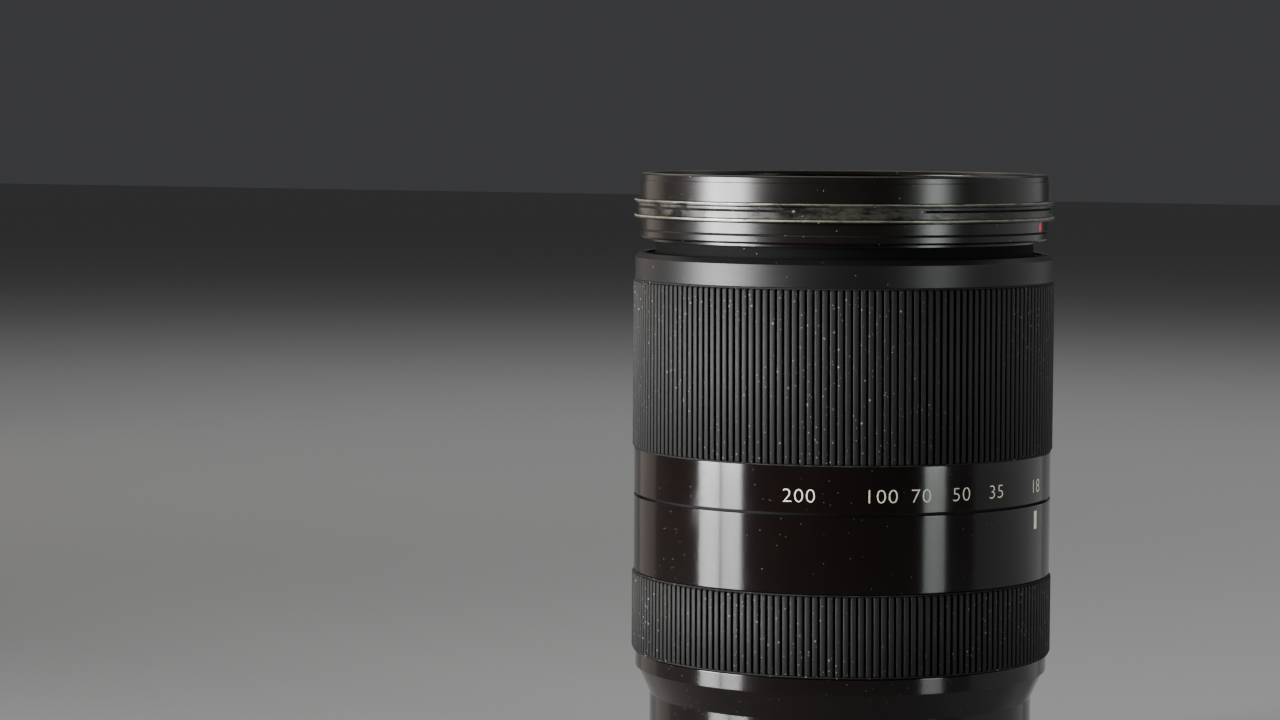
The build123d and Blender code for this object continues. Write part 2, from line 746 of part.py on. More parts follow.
# Front group: a cemented pair in a cell that fits the front barrel
front_cell_z = guide_top + 1.0
front_cell_skirt = 3.5
front_skirt_radius = cam_bore - 0.5
front_seat_z = front_cell_z - 0.7
front_cement_z = front_cell_z + 3.0
front_lens_edge = front_cement_z + 3.0
with BuildPart() as front_cell:
    turned(
        (front_lens_radius - 1.2, front_cell_z - front_cell_skirt),
        (front_skirt_radius, front_cell_z - front_cell_skirt),
        (front_skirt_radius, front_cell_z),
        (front_tube_bore, front_cell_z),
        (front_tube_bore, front_tube_top),
        (front_lens_radius, front_tube_top),
        (front_lens_radius, front_seat_z),
        (front_lens_radius - 1.2, front_seat_z),
    )
export(front_cell, "front_cell")
front_sag = 3.6
cement_sag = 5.0
front_rear_sag = 0.3
with BuildPart() as front_lens:
    lens(front_lens_radius, front_cement_z, cement_sag, front_lens_edge, front_sag)
export(front_lens, "front_lens")
with BuildPart() as second_lens:
    lens(front_lens_radius, front_seat_z, front_rear_sag, front_cement_z, cement_sag)
export(second_lens, "second_lens")
retainer_width = 1.3
retainer_height = 1.2
retainer_gap = 0.4
with BuildPart() as front_retainer:
    tube(front_lens_radius, front_lens_radius - retainer_width, front_lens_edge + retainer_gap,
         front_lens_edge + retainer_gap + retainer_height)
export(front_retainer, "front_retainer")


def rollers(height):
    """Three rollers that stand out of a cell, through the cam barrel, into the guide barrel."""
    pegs(thirds(guide_angle), roller_radius, cell_bore - 0.4, roller_tip, height)


# Second group (variator): a strong negative pair
variator_z = variator_roller_z - 6.0
variator_top = variator_roller_z + 6.5
variator_front_radius = 14.0
variator_rear_radius = 11.2
spider_hole_count = 6
with BuildPart() as variator_rollers:
    rollers(variator_roller_z)
export(variator_rollers, "variator_rollers")
spider_hole_radius = 3.6
spider_thickness = 1.6
with BuildPart() as variator_cell:
    tube(cell_radius, cell_bore, variator_roller_z - 2, variator_roller_z + 2)
    with BuildSketch(Plane.XY.offset(variator_roller_z - spider_thickness / 2)) as spider:
        Circle(cell_bore + 0.5)
        Circle(variator_front_radius + 0.5, mode=Mode.SUBTRACT)
        with PolarLocations((cell_bore + variator_front_radius) / 2 + 0.5, spider_hole_count):
            Circle(spider_hole_radius, mode=Mode.SUBTRACT)
    extrude(spider.sketch, amount=spider_thickness)
    turned(
        (variator_rear_radius, variator_z),
        (variator_rear_radius + 1.4, variator_z),
        (variator_rear_radius + 1.4, variator_roller_z - 0.8),
        (variator_front_radius + 1.4, variator_roller_z - 0.8),
        (variator_front_radius + 1.4, variator_top),
        (variator_front_radius, variator_top),
        (variator_front_radius, variator_top - 4.5),
        (variator_rear_radius, variator_top - 4.5),
    )
    add(variator_rollers.part, mode=Mode.SUBTRACT)
export(variator_cell, "variator_cell")
variator_inner_sag = 3.4
variator_front_sag = 1.9
with BuildPart() as variator_lens_front:
    lens(variator_front_radius, variator_top - 4.5, variator_inner_sag, variator_top - 1.6,
         variator_front_sag)
export(variator_lens_front, "variator_lens_front")
variator_rear_sag = 2.2
variator_hollow_sag = 2.0
with BuildPart() as variator_lens_rear:
    lens(variator_rear_radius, variator_z + 0.8, variator_rear_sag, variator_z + 7.0, -variator_hollow_sag)
export(variator_lens_rear, "variator_lens_rear")

# Third group (relay): carries the iris in front and the stabiliser behind
relay_z = relay_roller_z - 4.5
relay_top = relay_roller_z + 8.5
web_z = relay_roller_z + 2.7
web_top = web_z + 1.0
relay_lens_radius = 9.0
spigot_radius = 9.5
iris_wall_bore = 17.0
iris_ring_z = web_top + 0.15
iris_ring_top = iris_ring_z + 0.7
blade_count = 7
blade_thickness = 0.1
blade_pitch = 0.16
blade_z = iris_ring_top + 0.15
iris_cover_z = blade_z + blade_count * blade_pitch + 0.15
iris_cover_top = iris_cover_z + 0.9
pivot_circle = 14.6
pivot_radius = 0.45
drive_arc = 12.0
drive_pin_radius = 0.4
blade_swing = 28.0
iris_turn = 12.0
guide_post_circle = 19.0
guide_post_radius = 1.0
stabiliser_travel = 0.7
slider_z = relay_z + 1.8
slider_thickness = 0.8
lens_frame_z = relay_z + 0.5
lens_frame_thickness = 1.0
with BuildPart() as relay_rollers:
    rollers(relay_roller_z)
export(relay_rollers, "relay_rollers")
with BuildPart() as relay_cell:
    tube(cell_radius, cell_bore, relay_z, relay_top)
    tube(cell_bore + 0.5, relay_lens_radius, web_z, web_top)
    tube(relay_lens_radius + 1.2, relay_lens_radius, web_z - 3.8, web_z + 0.5)
    tube(spigot_radius, relay_lens_radius, web_top - 0.5, iris_ring_top)
    tube(iris_wall_bore + 0.9, iris_wall_bore, web_top - 0.5, iris_cover_top)
    with BuildSketch(Plane.XY.offset(slider_z - 0.15)) as posts:
        with PolarLocations(guide_post_circle, 2):
            Circle(guide_post_radius)
    extrude(posts.sketch, amount=web_z - slider_z + 0.65)
    add(relay_rollers.part, mode=Mode.SUBTRACT)
export(relay_cell, "relay_cell")
relay_rear_sag = 1.0
relay_front_sag = 1.2
with BuildPart() as relay_lens:
    lens(relay_lens_radius, web_z - 3.0, -relay_rear_sag, web_z - 0.4, relay_front_sag)
export(relay_lens, "relay_lens")

# Iris: seven blades, stacked one above another, each on a peg in the cover and driven by a pin
# in a slanted slot of the ring
blade_angles = [360 / blade_count * step for step in range(blade_count)]


def polar(radius, angle):
    """A point in the plane of the iris."""
    return Vector(radius * cos(radians(angle)), radius * sin(radians(angle)))


def drive_pin_place(share):
    """Where a drive pin stands in the turned ring, with the blade part-way through its swing."""
    pivot = polar(pivot_circle, 0)
    arm = polar(pivot_circle, -drive_arc) - pivot
    return (pivot + arm.rotate(Axis.Z, blade_swing * share)).rotate(Axis.Z, -iris_turn * share)


slot_start = drive_pin_place(0)
slot_end = drive_pin_place(1)
slot_line = slot_end - slot_start
slot_middle = drive_pin_place(0.5)
slot_centre = (slot_start + slot_end) * 0.25 + slot_middle * 0.5
slot_bow = (slot_middle - (slot_start + slot_end) * 0.5).length
slot_heading = degrees(atan2(slot_line.Y, slot_line.X))
iris_slot_radius = drive_pin_radius + 0.12 + slot_bow / 2
with BuildPart() as iris_drive_ring:
    with BuildSketch(Plane.XY.offset(iris_ring_z)) as ring_face:
        Circle(iris_wall_bore - 0.25)
        Circle(spigot_radius + running_clearance, mode=Mode.SUBTRACT)
        for angle in blade_angles:
            with Locations(slot_centre.rotate(Axis.Z, angle)):
                SlotCenterToCenter(slot_line.length, 2 * iris_slot_radius, rotation=slot_heading + angle,
                                   mode=Mode.SUBTRACT)
    extrude(ring_face.sketch, amount=iris_ring_top - iris_ring_z)
export(iris_drive_ring, "iris_drive_ring")
with BuildPart() as iris_cover:
    with BuildSketch(Plane.XY.offset(iris_cover_z)) as cover_face:
        Circle(iris_wall_bore)
        Circle(spigot_radius + 0.1, mode=Mode.SUBTRACT)
        with PolarLocations(pivot_circle, blade_count):
            Circle(pivot_radius + 0.06, mode=Mode.SUBTRACT)
    extrude(cover_face.sketch, amount=iris_cover_top - iris_cover_z)
export(iris_cover, "iris_cover")

blade_lead = 6
blade_bore = spigot_radius + 0.3
blade_edge = 12.6
blade_sweep = 96.0
tab_width = 1.9
tab_length = 2.6
for number, angle in enumerate(blade_angles):
    blade_low = blade_z + number * blade_pitch
    with BuildPart() as iris_blade:
        with BuildSketch(Plane.XY.offset(blade_low).rotated((0, 0, angle))) as blade_face:
            with BuildLine():
                CenterArc((0, 0), blade_bore, -blade_lead, blade_sweep)
                CenterArc((0, 0), blade_edge, -blade_lead, blade_sweep)
                Line(polar(blade_bore, -blade_lead), polar(blade_edge, -blade_lead))
                Line(polar(blade_bore, blade_sweep - blade_lead), polar(blade_edge, blade_sweep - blade_lead))
            make_face()
            with Locations((polar(pivot_circle, 0) + polar(pivot_circle, -drive_arc)) * 0.5):
                SlotCenterToCenter(
                    (polar(pivot_circle, 0) - polar(pivot_circle, -drive_arc)).length, tab_width,
                    rotation=90 - drive_arc / 2
                )
            with Locations((pivot_circle - 1.2, 0)):
                Rectangle(tab_length, tab_width)
        extrude(amount=blade_thickness)
        with BuildSketch(Plane.XY.offset(blade_low).rotated((0, 0, angle))):
            with Locations((pivot_circle, 0)):
                Circle(pivot_radius)
        extrude(amount=iris_cover_top - blade_low - 0.1)
        with BuildSketch(Plane.XY.offset(iris_ring_z + 0.1).rotated((0, 0, angle))):
            with Locations(polar(pivot_circle, -drive_arc)):
                Circle(drive_pin_radius)
        extrude(amount=blade_low - iris_ring_z - 0.05)
    export(iris_blade, f"iris_blade_{number + 1}")

# Stabiliser: a slider that shifts along X carries a lens frame that shifts along Y
stabiliser_outer = cell_bore - stabiliser_travel - 2.4
post_slot = 2 * (guide_post_radius + stabiliser_travel + slot_clearance)
post_slot_width = 2 * (guide_post_radius + slot_clearance)
with BuildPart() as stabiliser_slider:
    with BuildSketch(Plane.XY.offset(slider_z)) as slider_face:
        Circle(stabiliser_outer)
        Circle(relay_lens_radius + 2.6, mode=Mode.SUBTRACT)
        with PolarLocations(guide_post_circle, 2):
            SlotOverall(post_slot, post_slot_width, mode=Mode.SUBTRACT)
    extrude(slider_face.sketch, amount=slider_thickness)
    with BuildSketch(Plane.XY.offset(lens_frame_z - 0.2)) as slider_posts:
        with PolarLocations(guide_post_circle, 2, start_angle=90):
            Circle(guide_post_radius)
    extrude(slider_posts.sketch, amount=slider_z - lens_frame_z + 0.6)
export(stabiliser_slider, "stabiliser_slider")
stabiliser_lens_radius = 8.4
with BuildPart() as stabiliser_frame:
    with BuildSketch(Plane.XY.offset(lens_frame_z)) as lens_frame_face:
        Circle(stabiliser_outer)
        Circle(stabiliser_lens_radius, mode=Mode.SUBTRACT)
        with PolarLocations(guide_post_circle, 2, start_angle=90):
            SlotOverall(post_slot, post_slot_width, mode=Mode.SUBTRACT)
    extrude(lens_frame_face.sketch, amount=lens_frame_thickness)
    tube(stabiliser_lens_radius + 1.2, stabiliser_lens_radius, lens_frame_z - 0.3, lens_frame_z + 2.6)
export(stabiliser_frame, "stabiliser_frame")
stabiliser_rear_sag = 0.3
stabiliser_front_sag = 0.8
with BuildPart() as stabiliser_lens:
    lens(stabiliser_lens_radius, lens_frame_z + 0.1, -stabiliser_rear_sag, lens_frame_z + 1.4,
         stabiliser_front_sag)
export(stabiliser_lens, "stabiliser_lens")

# Rear group: a carriage with two rods, on which the focusing glass slides
rear_z = rear_roller_z - 7.5
rear_top = rear_roller_z + 4.4
rear_web_z = rear_z + 0.5
rear_web_top = rear_web_z + 1.0
rear_lens_radius = 12.0
rod_circle = 18.0
rod_radius = 0.8
magnet_inner = 21.6
magnet_thickness = 1.4
focus_travel = 2.6
with BuildPart() as rear_rollers:
    rollers(rear_roller_z)
export(rear_rollers, "rear_rollers")
with BuildPart() as focus_rods:
    with BuildSketch(Plane.XY.offset(rear_web_z + 0.2)) as rods:
        with PolarLocations(rod_circle, 2):
            Circle(rod_radius)
    extrude(rods.sketch, amount=rear_top - rear_web_z - 0.4)
export(focus_rods, "focus_rods")
with BuildPart() as rear_cell:
    tube(cell_radius, cell_bore, rear_z, rear_top)
    tube(cell_bore + 0.5, rear_lens_radius, rear_web_z, rear_web_top)
    tube(rear_lens_radius + 1.2, rear_lens_radius, rear_z, rear_web_top + 2.4)
    add(rear_rollers.part, mode=Mode.SUBTRACT)
    add(focus_rods.part, mode=Mode.SUBTRACT)
export(rear_cell, "rear_cell")
rear_lens_sag = 0.6
rear_lens_front_sag = 1.4
with BuildPart() as rear_lens:
    lens(rear_lens_radius, rear_z + 0.6, rear_lens_sag, rear_web_top + 1.6, rear_lens_front_sag)
export(rear_lens, "rear_lens")
magnet_width = 9.0
with BuildPart() as focus_magnets:
    for angle in (90, 270):
        with Locations(spoke(angle, magnet_inner + magnet_thickness / 2, (rear_web_top + rear_top) / 2 - 0.2)):
            Box(magnet_width, rear_top - rear_web_top - 0.4, magnet_thickness)
export(focus_magnets, "focus_magnets")

# Focusing cell: the glass, two sleeves on the rods and two coils facing the magnets
focus_lens_radius = 9.0
focus_cell_z = rear_web_top + 4.1
focus_cell_top = focus_cell_z + 3.4
coil_gap = 0.3
coil_thickness = 1.2
coil_width = 8.0
arm_width = 3.0
arm_thickness = 2.4
with BuildPart() as focus_cell:
    tube(focus_lens_radius + 1.1, focus_lens_radius, focus_cell_z, focus_cell_top)
    with BuildSketch(Plane.XY.offset(focus_cell_z)) as arms:
        with PolarLocations((focus_lens_radius + rod_circle) / 2 + 0.2, 2):
            Rectangle(rod_circle - focus_lens_radius - 0.6, 2.4)
        with PolarLocations(rod_circle, 2):
            Circle(2.0)
        with PolarLocations((focus_lens_radius + magnet_inner) / 2, 2, start_angle=90):
            Rectangle(magnet_inner - focus_lens_radius - 2 * coil_gap - coil_thickness, arm_width)
        with PolarLocations(magnet_inner - coil_gap - coil_thickness / 2, 2, start_angle=90):
            Rectangle(coil_thickness, coil_width)
        with PolarLocations(rod_circle, 2):
            Circle(rod_radius + slot_clearance, mode=Mode.SUBTRACT)
    extrude(arms.sketch, amount=arm_thickness)
export(focus_cell, "focus_cell")
focus_rear_sag = 0.4
focus_front_sag = 0.6
with BuildPart() as focus_lens:
    lens(focus_lens_radius, focus_cell_z + 0.6, -focus_rear_sag, focus_cell_top - 0.8, focus_front_sag)
export(focus_lens, "focus_lens")

# Focus ring: turns freely on the frame; its comb runs past the two photo-reflectors
comb_radius = trim_band_radius - cover_wall - 0.2
comb_bore = sleeve_radius + 0.25
comb_depth = 2.0
comb_teeth = 60
focus_ring_bore = sleeve_radius + running_clearance
comb_gap_length = 1.2
with BuildPart() as focus_ring:
    tube(zoom_ring_radius, focus_ring_bore, focus_z, focus_top)
    tube(comb_radius, comb_bore, focus_z - comb_depth, focus_z + 0.3)
    with BuildSketch(Plane.XY.offset(focus_z - comb_depth)) as comb_gaps:
        with PolarLocations((comb_radius + comb_bore) / 2, comb_teeth):
            Rectangle(comb_gap_length, pi * comb_radius / comb_teeth)
    extrude(comb_gaps.sketch, amount=comb_depth - 0.3, mode=Mode.SUBTRACT)
export(focus_ring, "focus_ring")

# Rubber sleeve of the focus ring
with BuildPart() as focus_grip:
    ribbed_sleeve(focus_z, focus_top)
export(focus_grip, "focus_grip")
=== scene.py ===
import math

import bmesh
import bpy
from mathutils import Matrix, Vector


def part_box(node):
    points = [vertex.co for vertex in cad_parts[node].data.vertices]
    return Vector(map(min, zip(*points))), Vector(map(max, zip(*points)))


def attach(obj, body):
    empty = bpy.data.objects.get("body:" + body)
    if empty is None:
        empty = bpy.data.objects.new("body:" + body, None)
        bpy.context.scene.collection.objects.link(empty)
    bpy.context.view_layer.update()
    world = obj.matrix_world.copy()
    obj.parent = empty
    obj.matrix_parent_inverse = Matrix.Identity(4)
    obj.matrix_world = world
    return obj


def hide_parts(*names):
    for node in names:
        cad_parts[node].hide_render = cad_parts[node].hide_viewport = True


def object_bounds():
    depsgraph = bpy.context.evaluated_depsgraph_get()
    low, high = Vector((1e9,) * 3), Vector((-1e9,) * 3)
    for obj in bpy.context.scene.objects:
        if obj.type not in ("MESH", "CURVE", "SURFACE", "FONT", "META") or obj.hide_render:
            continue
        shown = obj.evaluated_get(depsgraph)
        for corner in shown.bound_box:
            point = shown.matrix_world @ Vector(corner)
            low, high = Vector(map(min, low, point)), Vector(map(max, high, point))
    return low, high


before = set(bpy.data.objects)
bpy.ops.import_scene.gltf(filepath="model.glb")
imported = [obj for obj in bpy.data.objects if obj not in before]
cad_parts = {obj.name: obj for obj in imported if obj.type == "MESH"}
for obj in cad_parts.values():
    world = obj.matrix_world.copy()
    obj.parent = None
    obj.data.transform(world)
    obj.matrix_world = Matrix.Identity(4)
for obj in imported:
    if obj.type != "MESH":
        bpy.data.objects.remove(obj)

cad_low, cad_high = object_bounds()
mm = 0.001


# The table and the light. The lens stands on its bayonet on a plain pale table. Upright panels
# round it show as soft stripes down the glossy bands, and a wide one above lights the rims.
table_height = cad_low[2]
table_size = 8.0
panel_reach = 0.75
panel_height = 0.9
narrow = 50
camera_bearing = -65.5


def compass(bearing):
    """The direction that stands at a bearing from the index line, seen from the optical axis."""
    return Vector((math.sin(math.radians(bearing)), -math.cos(math.radians(bearing)), 0))


class Wire:
    """A value on its way through a material, so that shader maths reads as arithmetic."""

    def __init__(self, finish, socket):
        self.finish = finish
        self.socket = socket

    def _math(self, operation, *values):
        settings = {"operation": operation}
        return self.finish.node("ShaderNodeMath", settings, dict(enumerate(values)))

    def __add__(self, other):
        return self._math("ADD", self, other)

    def __radd__(self, other):
        return self._math("ADD", other, self)

    def __sub__(self, other):
        return self._math("SUBTRACT", self, other)

    def __rsub__(self, other):
        return self._math("SUBTRACT", other, self)

    def __mul__(self, other):
        return self._math("MULTIPLY", self, other)

    def __rmul__(self, other):
        return self._math("MULTIPLY", other, self)

    def larger(self, other):
        return self._math("MAXIMUM", self, other)

    def step(self, low, high):
        """0 below low, 1 above high, and a smooth rise between them."""
        settings = {"interpolation_type": "SMOOTHSTEP"}
        values = {"Value": self, "From Min": low, "From Max": high}
        return self.finish.node("ShaderNodeMapRange", settings, values)


class Finish:
    """A material, built one node at a time round a Principled shader."""

    def __init__(self, name, **constants):
        self.material = bpy.data.materials.new(name)
        self.material.use_nodes = True
        self.nodes = self.material.node_tree.nodes
        self.links = self.material.node_tree.links
        self.shader = self.nodes["Principled BSDF"]
        for socket, value in constants.items():
            self.shader.inputs[socket.replace("_", " ")].default_value = value

    def node(self, kind, settings=None, values=None, output=0):
        """Any other node: its settings first, then the values or links of its sockets."""
        made = self.nodes.new(kind)
        for key, value in (settings or {}).items():
            setattr(made, key, value)
        for socket, value in (values or {}).items():
            if isinstance(value, Wire):
                self.links.new(value.socket, made.inputs[socket])
            else:
                made.inputs[socket].default_value = value
        return Wire(self, made.outputs[output])

    def place(self, stretch=(1, 1, 1)):
        """Where a point is on the lens, in metres, stretched for a pattern."""
        here = self.node("ShaderNodeTexCoord", output="Object")
        if stretch == (1, 1, 1):
            return here
        return self.node("ShaderNodeMapping", None, {"Vector": here, "Scale": stretch})

    def along(self, axis):
        """One coordinate of the point: 0, 1 and 2 are X, Y and Z."""
        return self.node("ShaderNodeSeparateXYZ", None, {0: self.place()}, axis)

    def radius(self):
        """How far the point is from the optical axis."""
        flat = self.node("ShaderNodeVectorMath", {"operation": "MULTIPLY"}, {0: self.place(), 1: (1, 1, 0)})
        return self.node("ShaderNodeVectorMath", {"operation": "LENGTH"}, {0: flat}, "Value")

    def noise(self, scale, detail=2.0, roughness=0.5, stretch=(1, 1, 1)):
        """Soft random variation from 0 to 1; scale is in features for each metre."""
        values = {"Vector": self.place(stretch), "Scale": scale, "Detail": detail, "Roughness": roughness}
        return self.node("ShaderNodeTexNoise", None, values)

    def specks(self, scale, size):
        """Scattered dots: 1 inside a dot and 0 elsewhere; size is a share of the spacing."""
        values = {"Vector": self.place(), "Scale": scale}
        distance = self.node("ShaderNodeTexVoronoi", None, values)
        return 1 - distance.step(size * 0.6, size)

    def mix(self, share, first, second):
        """Between two colours."""
        settings = {"data_type": "RGBA"}
        colours = {6: first if isinstance(first, Wire) else (*first, 1)}
        colours[7] = second if isinstance(second, Wire) else (*second, 1)
        return self.node("ShaderNodeMix", settings, {0: share, **colours}, 2)

    def bump(self, height, depth):
        """A surface raised by height, which runs from 0 to 1, times a depth in metres."""
        values = {"Height": height, "Distance": depth, "Strength": 1.0}
        return self.node("ShaderNodeBump", None, values)

    def wear(self, **wires):
        """Link what changes over the surface to the shader's sockets."""
        for socket, wire in wires.items():
            self.links.new(wire.socket, self.shader.inputs[socket.replace("_", " ")])
        return self.material


def as_piece(name, mesh):
    """A finished shape, put into the scene as a piece."""
    piece = bpy.data.objects.new(name, bpy.data.meshes.new(name))
    mesh.to_mesh(piece.data)
    mesh.free()
    bpy.context.collection.objects.link(piece)
    return piece


pale = Finish("pale_table")
cloud = pale.noise(3.0, detail=4.0)
grain = pale.noise(900.0, detail=2.0)
pale.wear(
    Base_Color=pale.mix(cloud, (0.40, 0.40, 0.40), (0.44, 0.44, 0.435)),
    Roughness=0.26 + grain * 0.06,
    Normal=pale.bump(grain, 0.002 * mm),
)
table_mesh = bmesh.new()
bmesh.ops.create_grid(table_mesh, x_segments=8, y_segments=8, size=table_size / 2)
bmesh.ops.translate(table_mesh, verts=table_mesh.verts, vec=(0, 0, table_height))
table = as_piece("table", table_mesh)
table.data.materials.append(pale.material)

world = bpy.data.worlds.new("soft_room")
world.use_nodes = True
world.node_tree.nodes["Background"].inputs["Color"].default_value = (0.95, 0.96, 1.0, 1)
world.node_tree.nodes["Background"].inputs["Strength"].default_value = 0.05
bpy.context.scene.world = world


def panel(name, place, aim, width, height, glow, colour=(1, 1, 1), spread=180):
    """A soft rectangular light; glow sets how bright its face is, spread how wide it throws."""
    data = bpy.data.lights.new(name, "AREA")
    data.shape = "RECTANGLE"
    data.size = width
    data.size_y = height
    data.energy = glow * math.pi * width * height
    data.color = colour
    data.spread = math.radians(spread)
    lamp = bpy.data.objects.new(name, data)
    lamp.location = place
    lamp.rotation_euler = (Vector(aim) - Vector(place)).to_track_quat("-Z", "Y").to_euler()
    lamp.visible_camera = False
    bpy.context.collection.objects.link(lamp)


def upright(name, from_bearing, to_bearing, glow, colour=(1, 1, 1), spread=180):
    """A panel that stands on the table between two bearings, measured from the camera's."""
    middle = (from_bearing + to_bearing) / 2
    width = 2 * panel_reach * math.tan(math.radians(to_bearing - from_bearing) / 2)
    place = compass(camera_bearing + middle) * panel_reach
    place.z = table_height + panel_height / 2
    panel(name, place, (0, 0, place.z), width, panel_height, glow, colour, spread)


upright("window_left", -82, -68.5, 7.6, spread=narrow)
upright("window_right", -67, -55, 7.0, spread=narrow)
upright("door_light", 45, 57, 1.6, (0.93, 1.0, 0.95), spread=narrow)
upright("wall_glow", 76, 143, 0.8)
upright("warm_wall", -146, -122, 0.9, (1.0, 0.86, 0.74))
behind = compass(camera_bearing + 180) * 0.7
panel("overhead", (behind.x, behind.y, 0.8), (behind.x * 0.6, behind.y * 0.6, 0), 0.8, 0.5, 4.0)

camera_distance = 586.85 * mm
camera_height = 107.12 * mm
camera_yaw = -3.2115
camera_pitch = 3.8635
camera_roll = 0.3272
yaw, pitch, roll = (math.radians(angle) for angle in (camera_yaw, camera_pitch, camera_roll))
right = Vector((math.cos(yaw), -math.sin(yaw), 0))
ahead = Vector((math.sin(yaw) * math.cos(pitch), math.cos(yaw) * math.cos(pitch), -math.sin(pitch)))
up = right.cross(ahead)
right, up = (
    math.cos(roll) * right + math.sin(roll) * up,
    math.cos(roll) * up - math.sin(roll) * right,
)
stand = Matrix((right, up, -ahead)).transposed().to_4x4()
stand.translation = (0, -camera_distance, camera_height)
camera = bpy.data.objects.new("camera", bpy.data.cameras.new("camera"))
camera.data.sensor_width = 36
camera.data.lens = 101.77
camera.data.clip_start = 0.01
camera.matrix_world = Matrix.Rotation(math.radians(camera_bearing), 4, "Z") @ stand
bpy.context.collection.objects.link(camera)
bpy.context.scene.camera = camera


# Mount plate: turned brass, plated bright, with three claws behind it that lock into the
# camera. Four countersunk steel screws with crossed slots hold it to the frame.
segments = 288


def rounded(outline, radius):
    """The closed outline with each corner turned into a small arc, and an extra point just past it."""
    points = []
    count = len(outline)
    for number, corner in enumerate(outline):
        corner = Vector(corner)
        before = Vector(outline[number - 1]) - corner
        after = Vector(outline[(number + 1) % count]) - corner
        turn = before.angle(after)
        if math.pi - turn < 0.05:
            points.append(corner)
            continue
        setback = min(radius / math.tan(turn / 2), 0.4 * before.length, 0.4 * after.length)
        start = corner + before.normalized() * setback
        end = corner + after.normalized() * setback
        support = setback * 0.25
        points.append(start + before.normalized() * support)
        for share in (0, 0.25, 0.5, 0.75, 1):
            inner = start.lerp(corner, share)
            outer = corner.lerp(end, share)
            points.append(inner.lerp(outer, share))
        points.append(end + after.normalized() * support)
    return points


def lathe(name, points, closed=True, round_steps=segments):
    """A turned piece from (radius, height) points. An open outline starts and ends on the axis."""
    mesh = bmesh.new()
    rings = []
    for radius, height in points:
        if radius < 1e-7:
            rings.append([mesh.verts.new((0, 0, height))])
            continue
        ring = []
        for step in range(round_steps):
            angle = 2 * math.pi * step / round_steps
            ring.append(mesh.verts.new((radius * math.cos(angle), radius * math.sin(angle), height)))
        rings.append(ring)
    pairs = list(zip(rings, rings[1:]))
    if closed:
        pairs.append((rings[-1], rings[0]))
    for low, high in pairs:
        for step in range(round_steps):
            ahead_step = (step + 1) % round_steps
            corners = {low[step % len(low)]: 1, low[ahead_step % len(low)]: 1}
            corners.update({high[ahead_step % len(high)]: 1, high[step % len(high)]: 1})
            mesh.faces.new(list(corners))
    bmesh.ops.recalc_face_normals(mesh, faces=mesh.faces)
    piece = as_piece(name, mesh)
    piece.data.shade_smooth()
    return piece


def join_loops(mesh, loops):
    """Walls between loops that hold the same number of points."""
    for low, high in zip(loops, loops[1:]):
        for step in range(len(low)):
            after = (step + 1) % len(low)
            mesh.faces.new((low[step], low[after], high[after], high[step]))


def dress(piece, material, body, slot, *nodes):
    """Give a piece its material, let it ride, and let it stand for CAD nodes. The slot is not used."""
    piece.data.materials.clear()
    piece.data.materials.append(material)
    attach(piece, body)
    if nodes:
        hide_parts(*nodes)
    return piece


def height_of(node):
    """The lowest and highest height of a CAD node."""
    low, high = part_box(node)
    return low[2], high[2]


def reach_of(node):
    """The outer radius of a round CAD node."""
    low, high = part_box(node)
    return high[0]


def finish_cad(material, *nodes):
    """Give CAD nodes their finish."""
    for node in nodes:
        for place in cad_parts[node].material_slots:
            place.material = material


line_spacing = 0.05 * mm


def turned_metal(name, colour, worn, roughness, line_depth):
    """Bare or plated metal with fine concentric turning lines and a few handling scratches."""
    finish = Finish(name, Metallic=1.0)
    count = 1 / line_spacing
    rings = {0: finish.radius() * count, 1: finish.along(2) * count, 2: 0.0}
    across = finish.node("ShaderNodeCombineXYZ", None, rings)
    lines = finish.node("ShaderNodeTexNoise", None, {"Vector": across, "Scale": 1.0, "Detail": 3.0})
    scratches = finish.noise(500.0, detail=6.0, roughness=0.8, stretch=(1, 0.25, 1)).step(0.58, 0.62)
    cloud = finish.noise(140.0, detail=4.0)
    return finish.wear(
        Base_Color=finish.mix(cloud.step(0.35, 0.75), colour, worn),
        Roughness=roughness + lines * 0.12 + scratches * 0.12,
        Normal=finish.bump(lines * 0.8 + scratches * 0.2, line_depth),
    )


plated_bright = turned_metal("plated_bright", (0.74, 0.72, 0.67), (0.60, 0.57, 0.50), 0.17, 0.002 * mm)
finish_cad(plated_bright, "mount_plate")


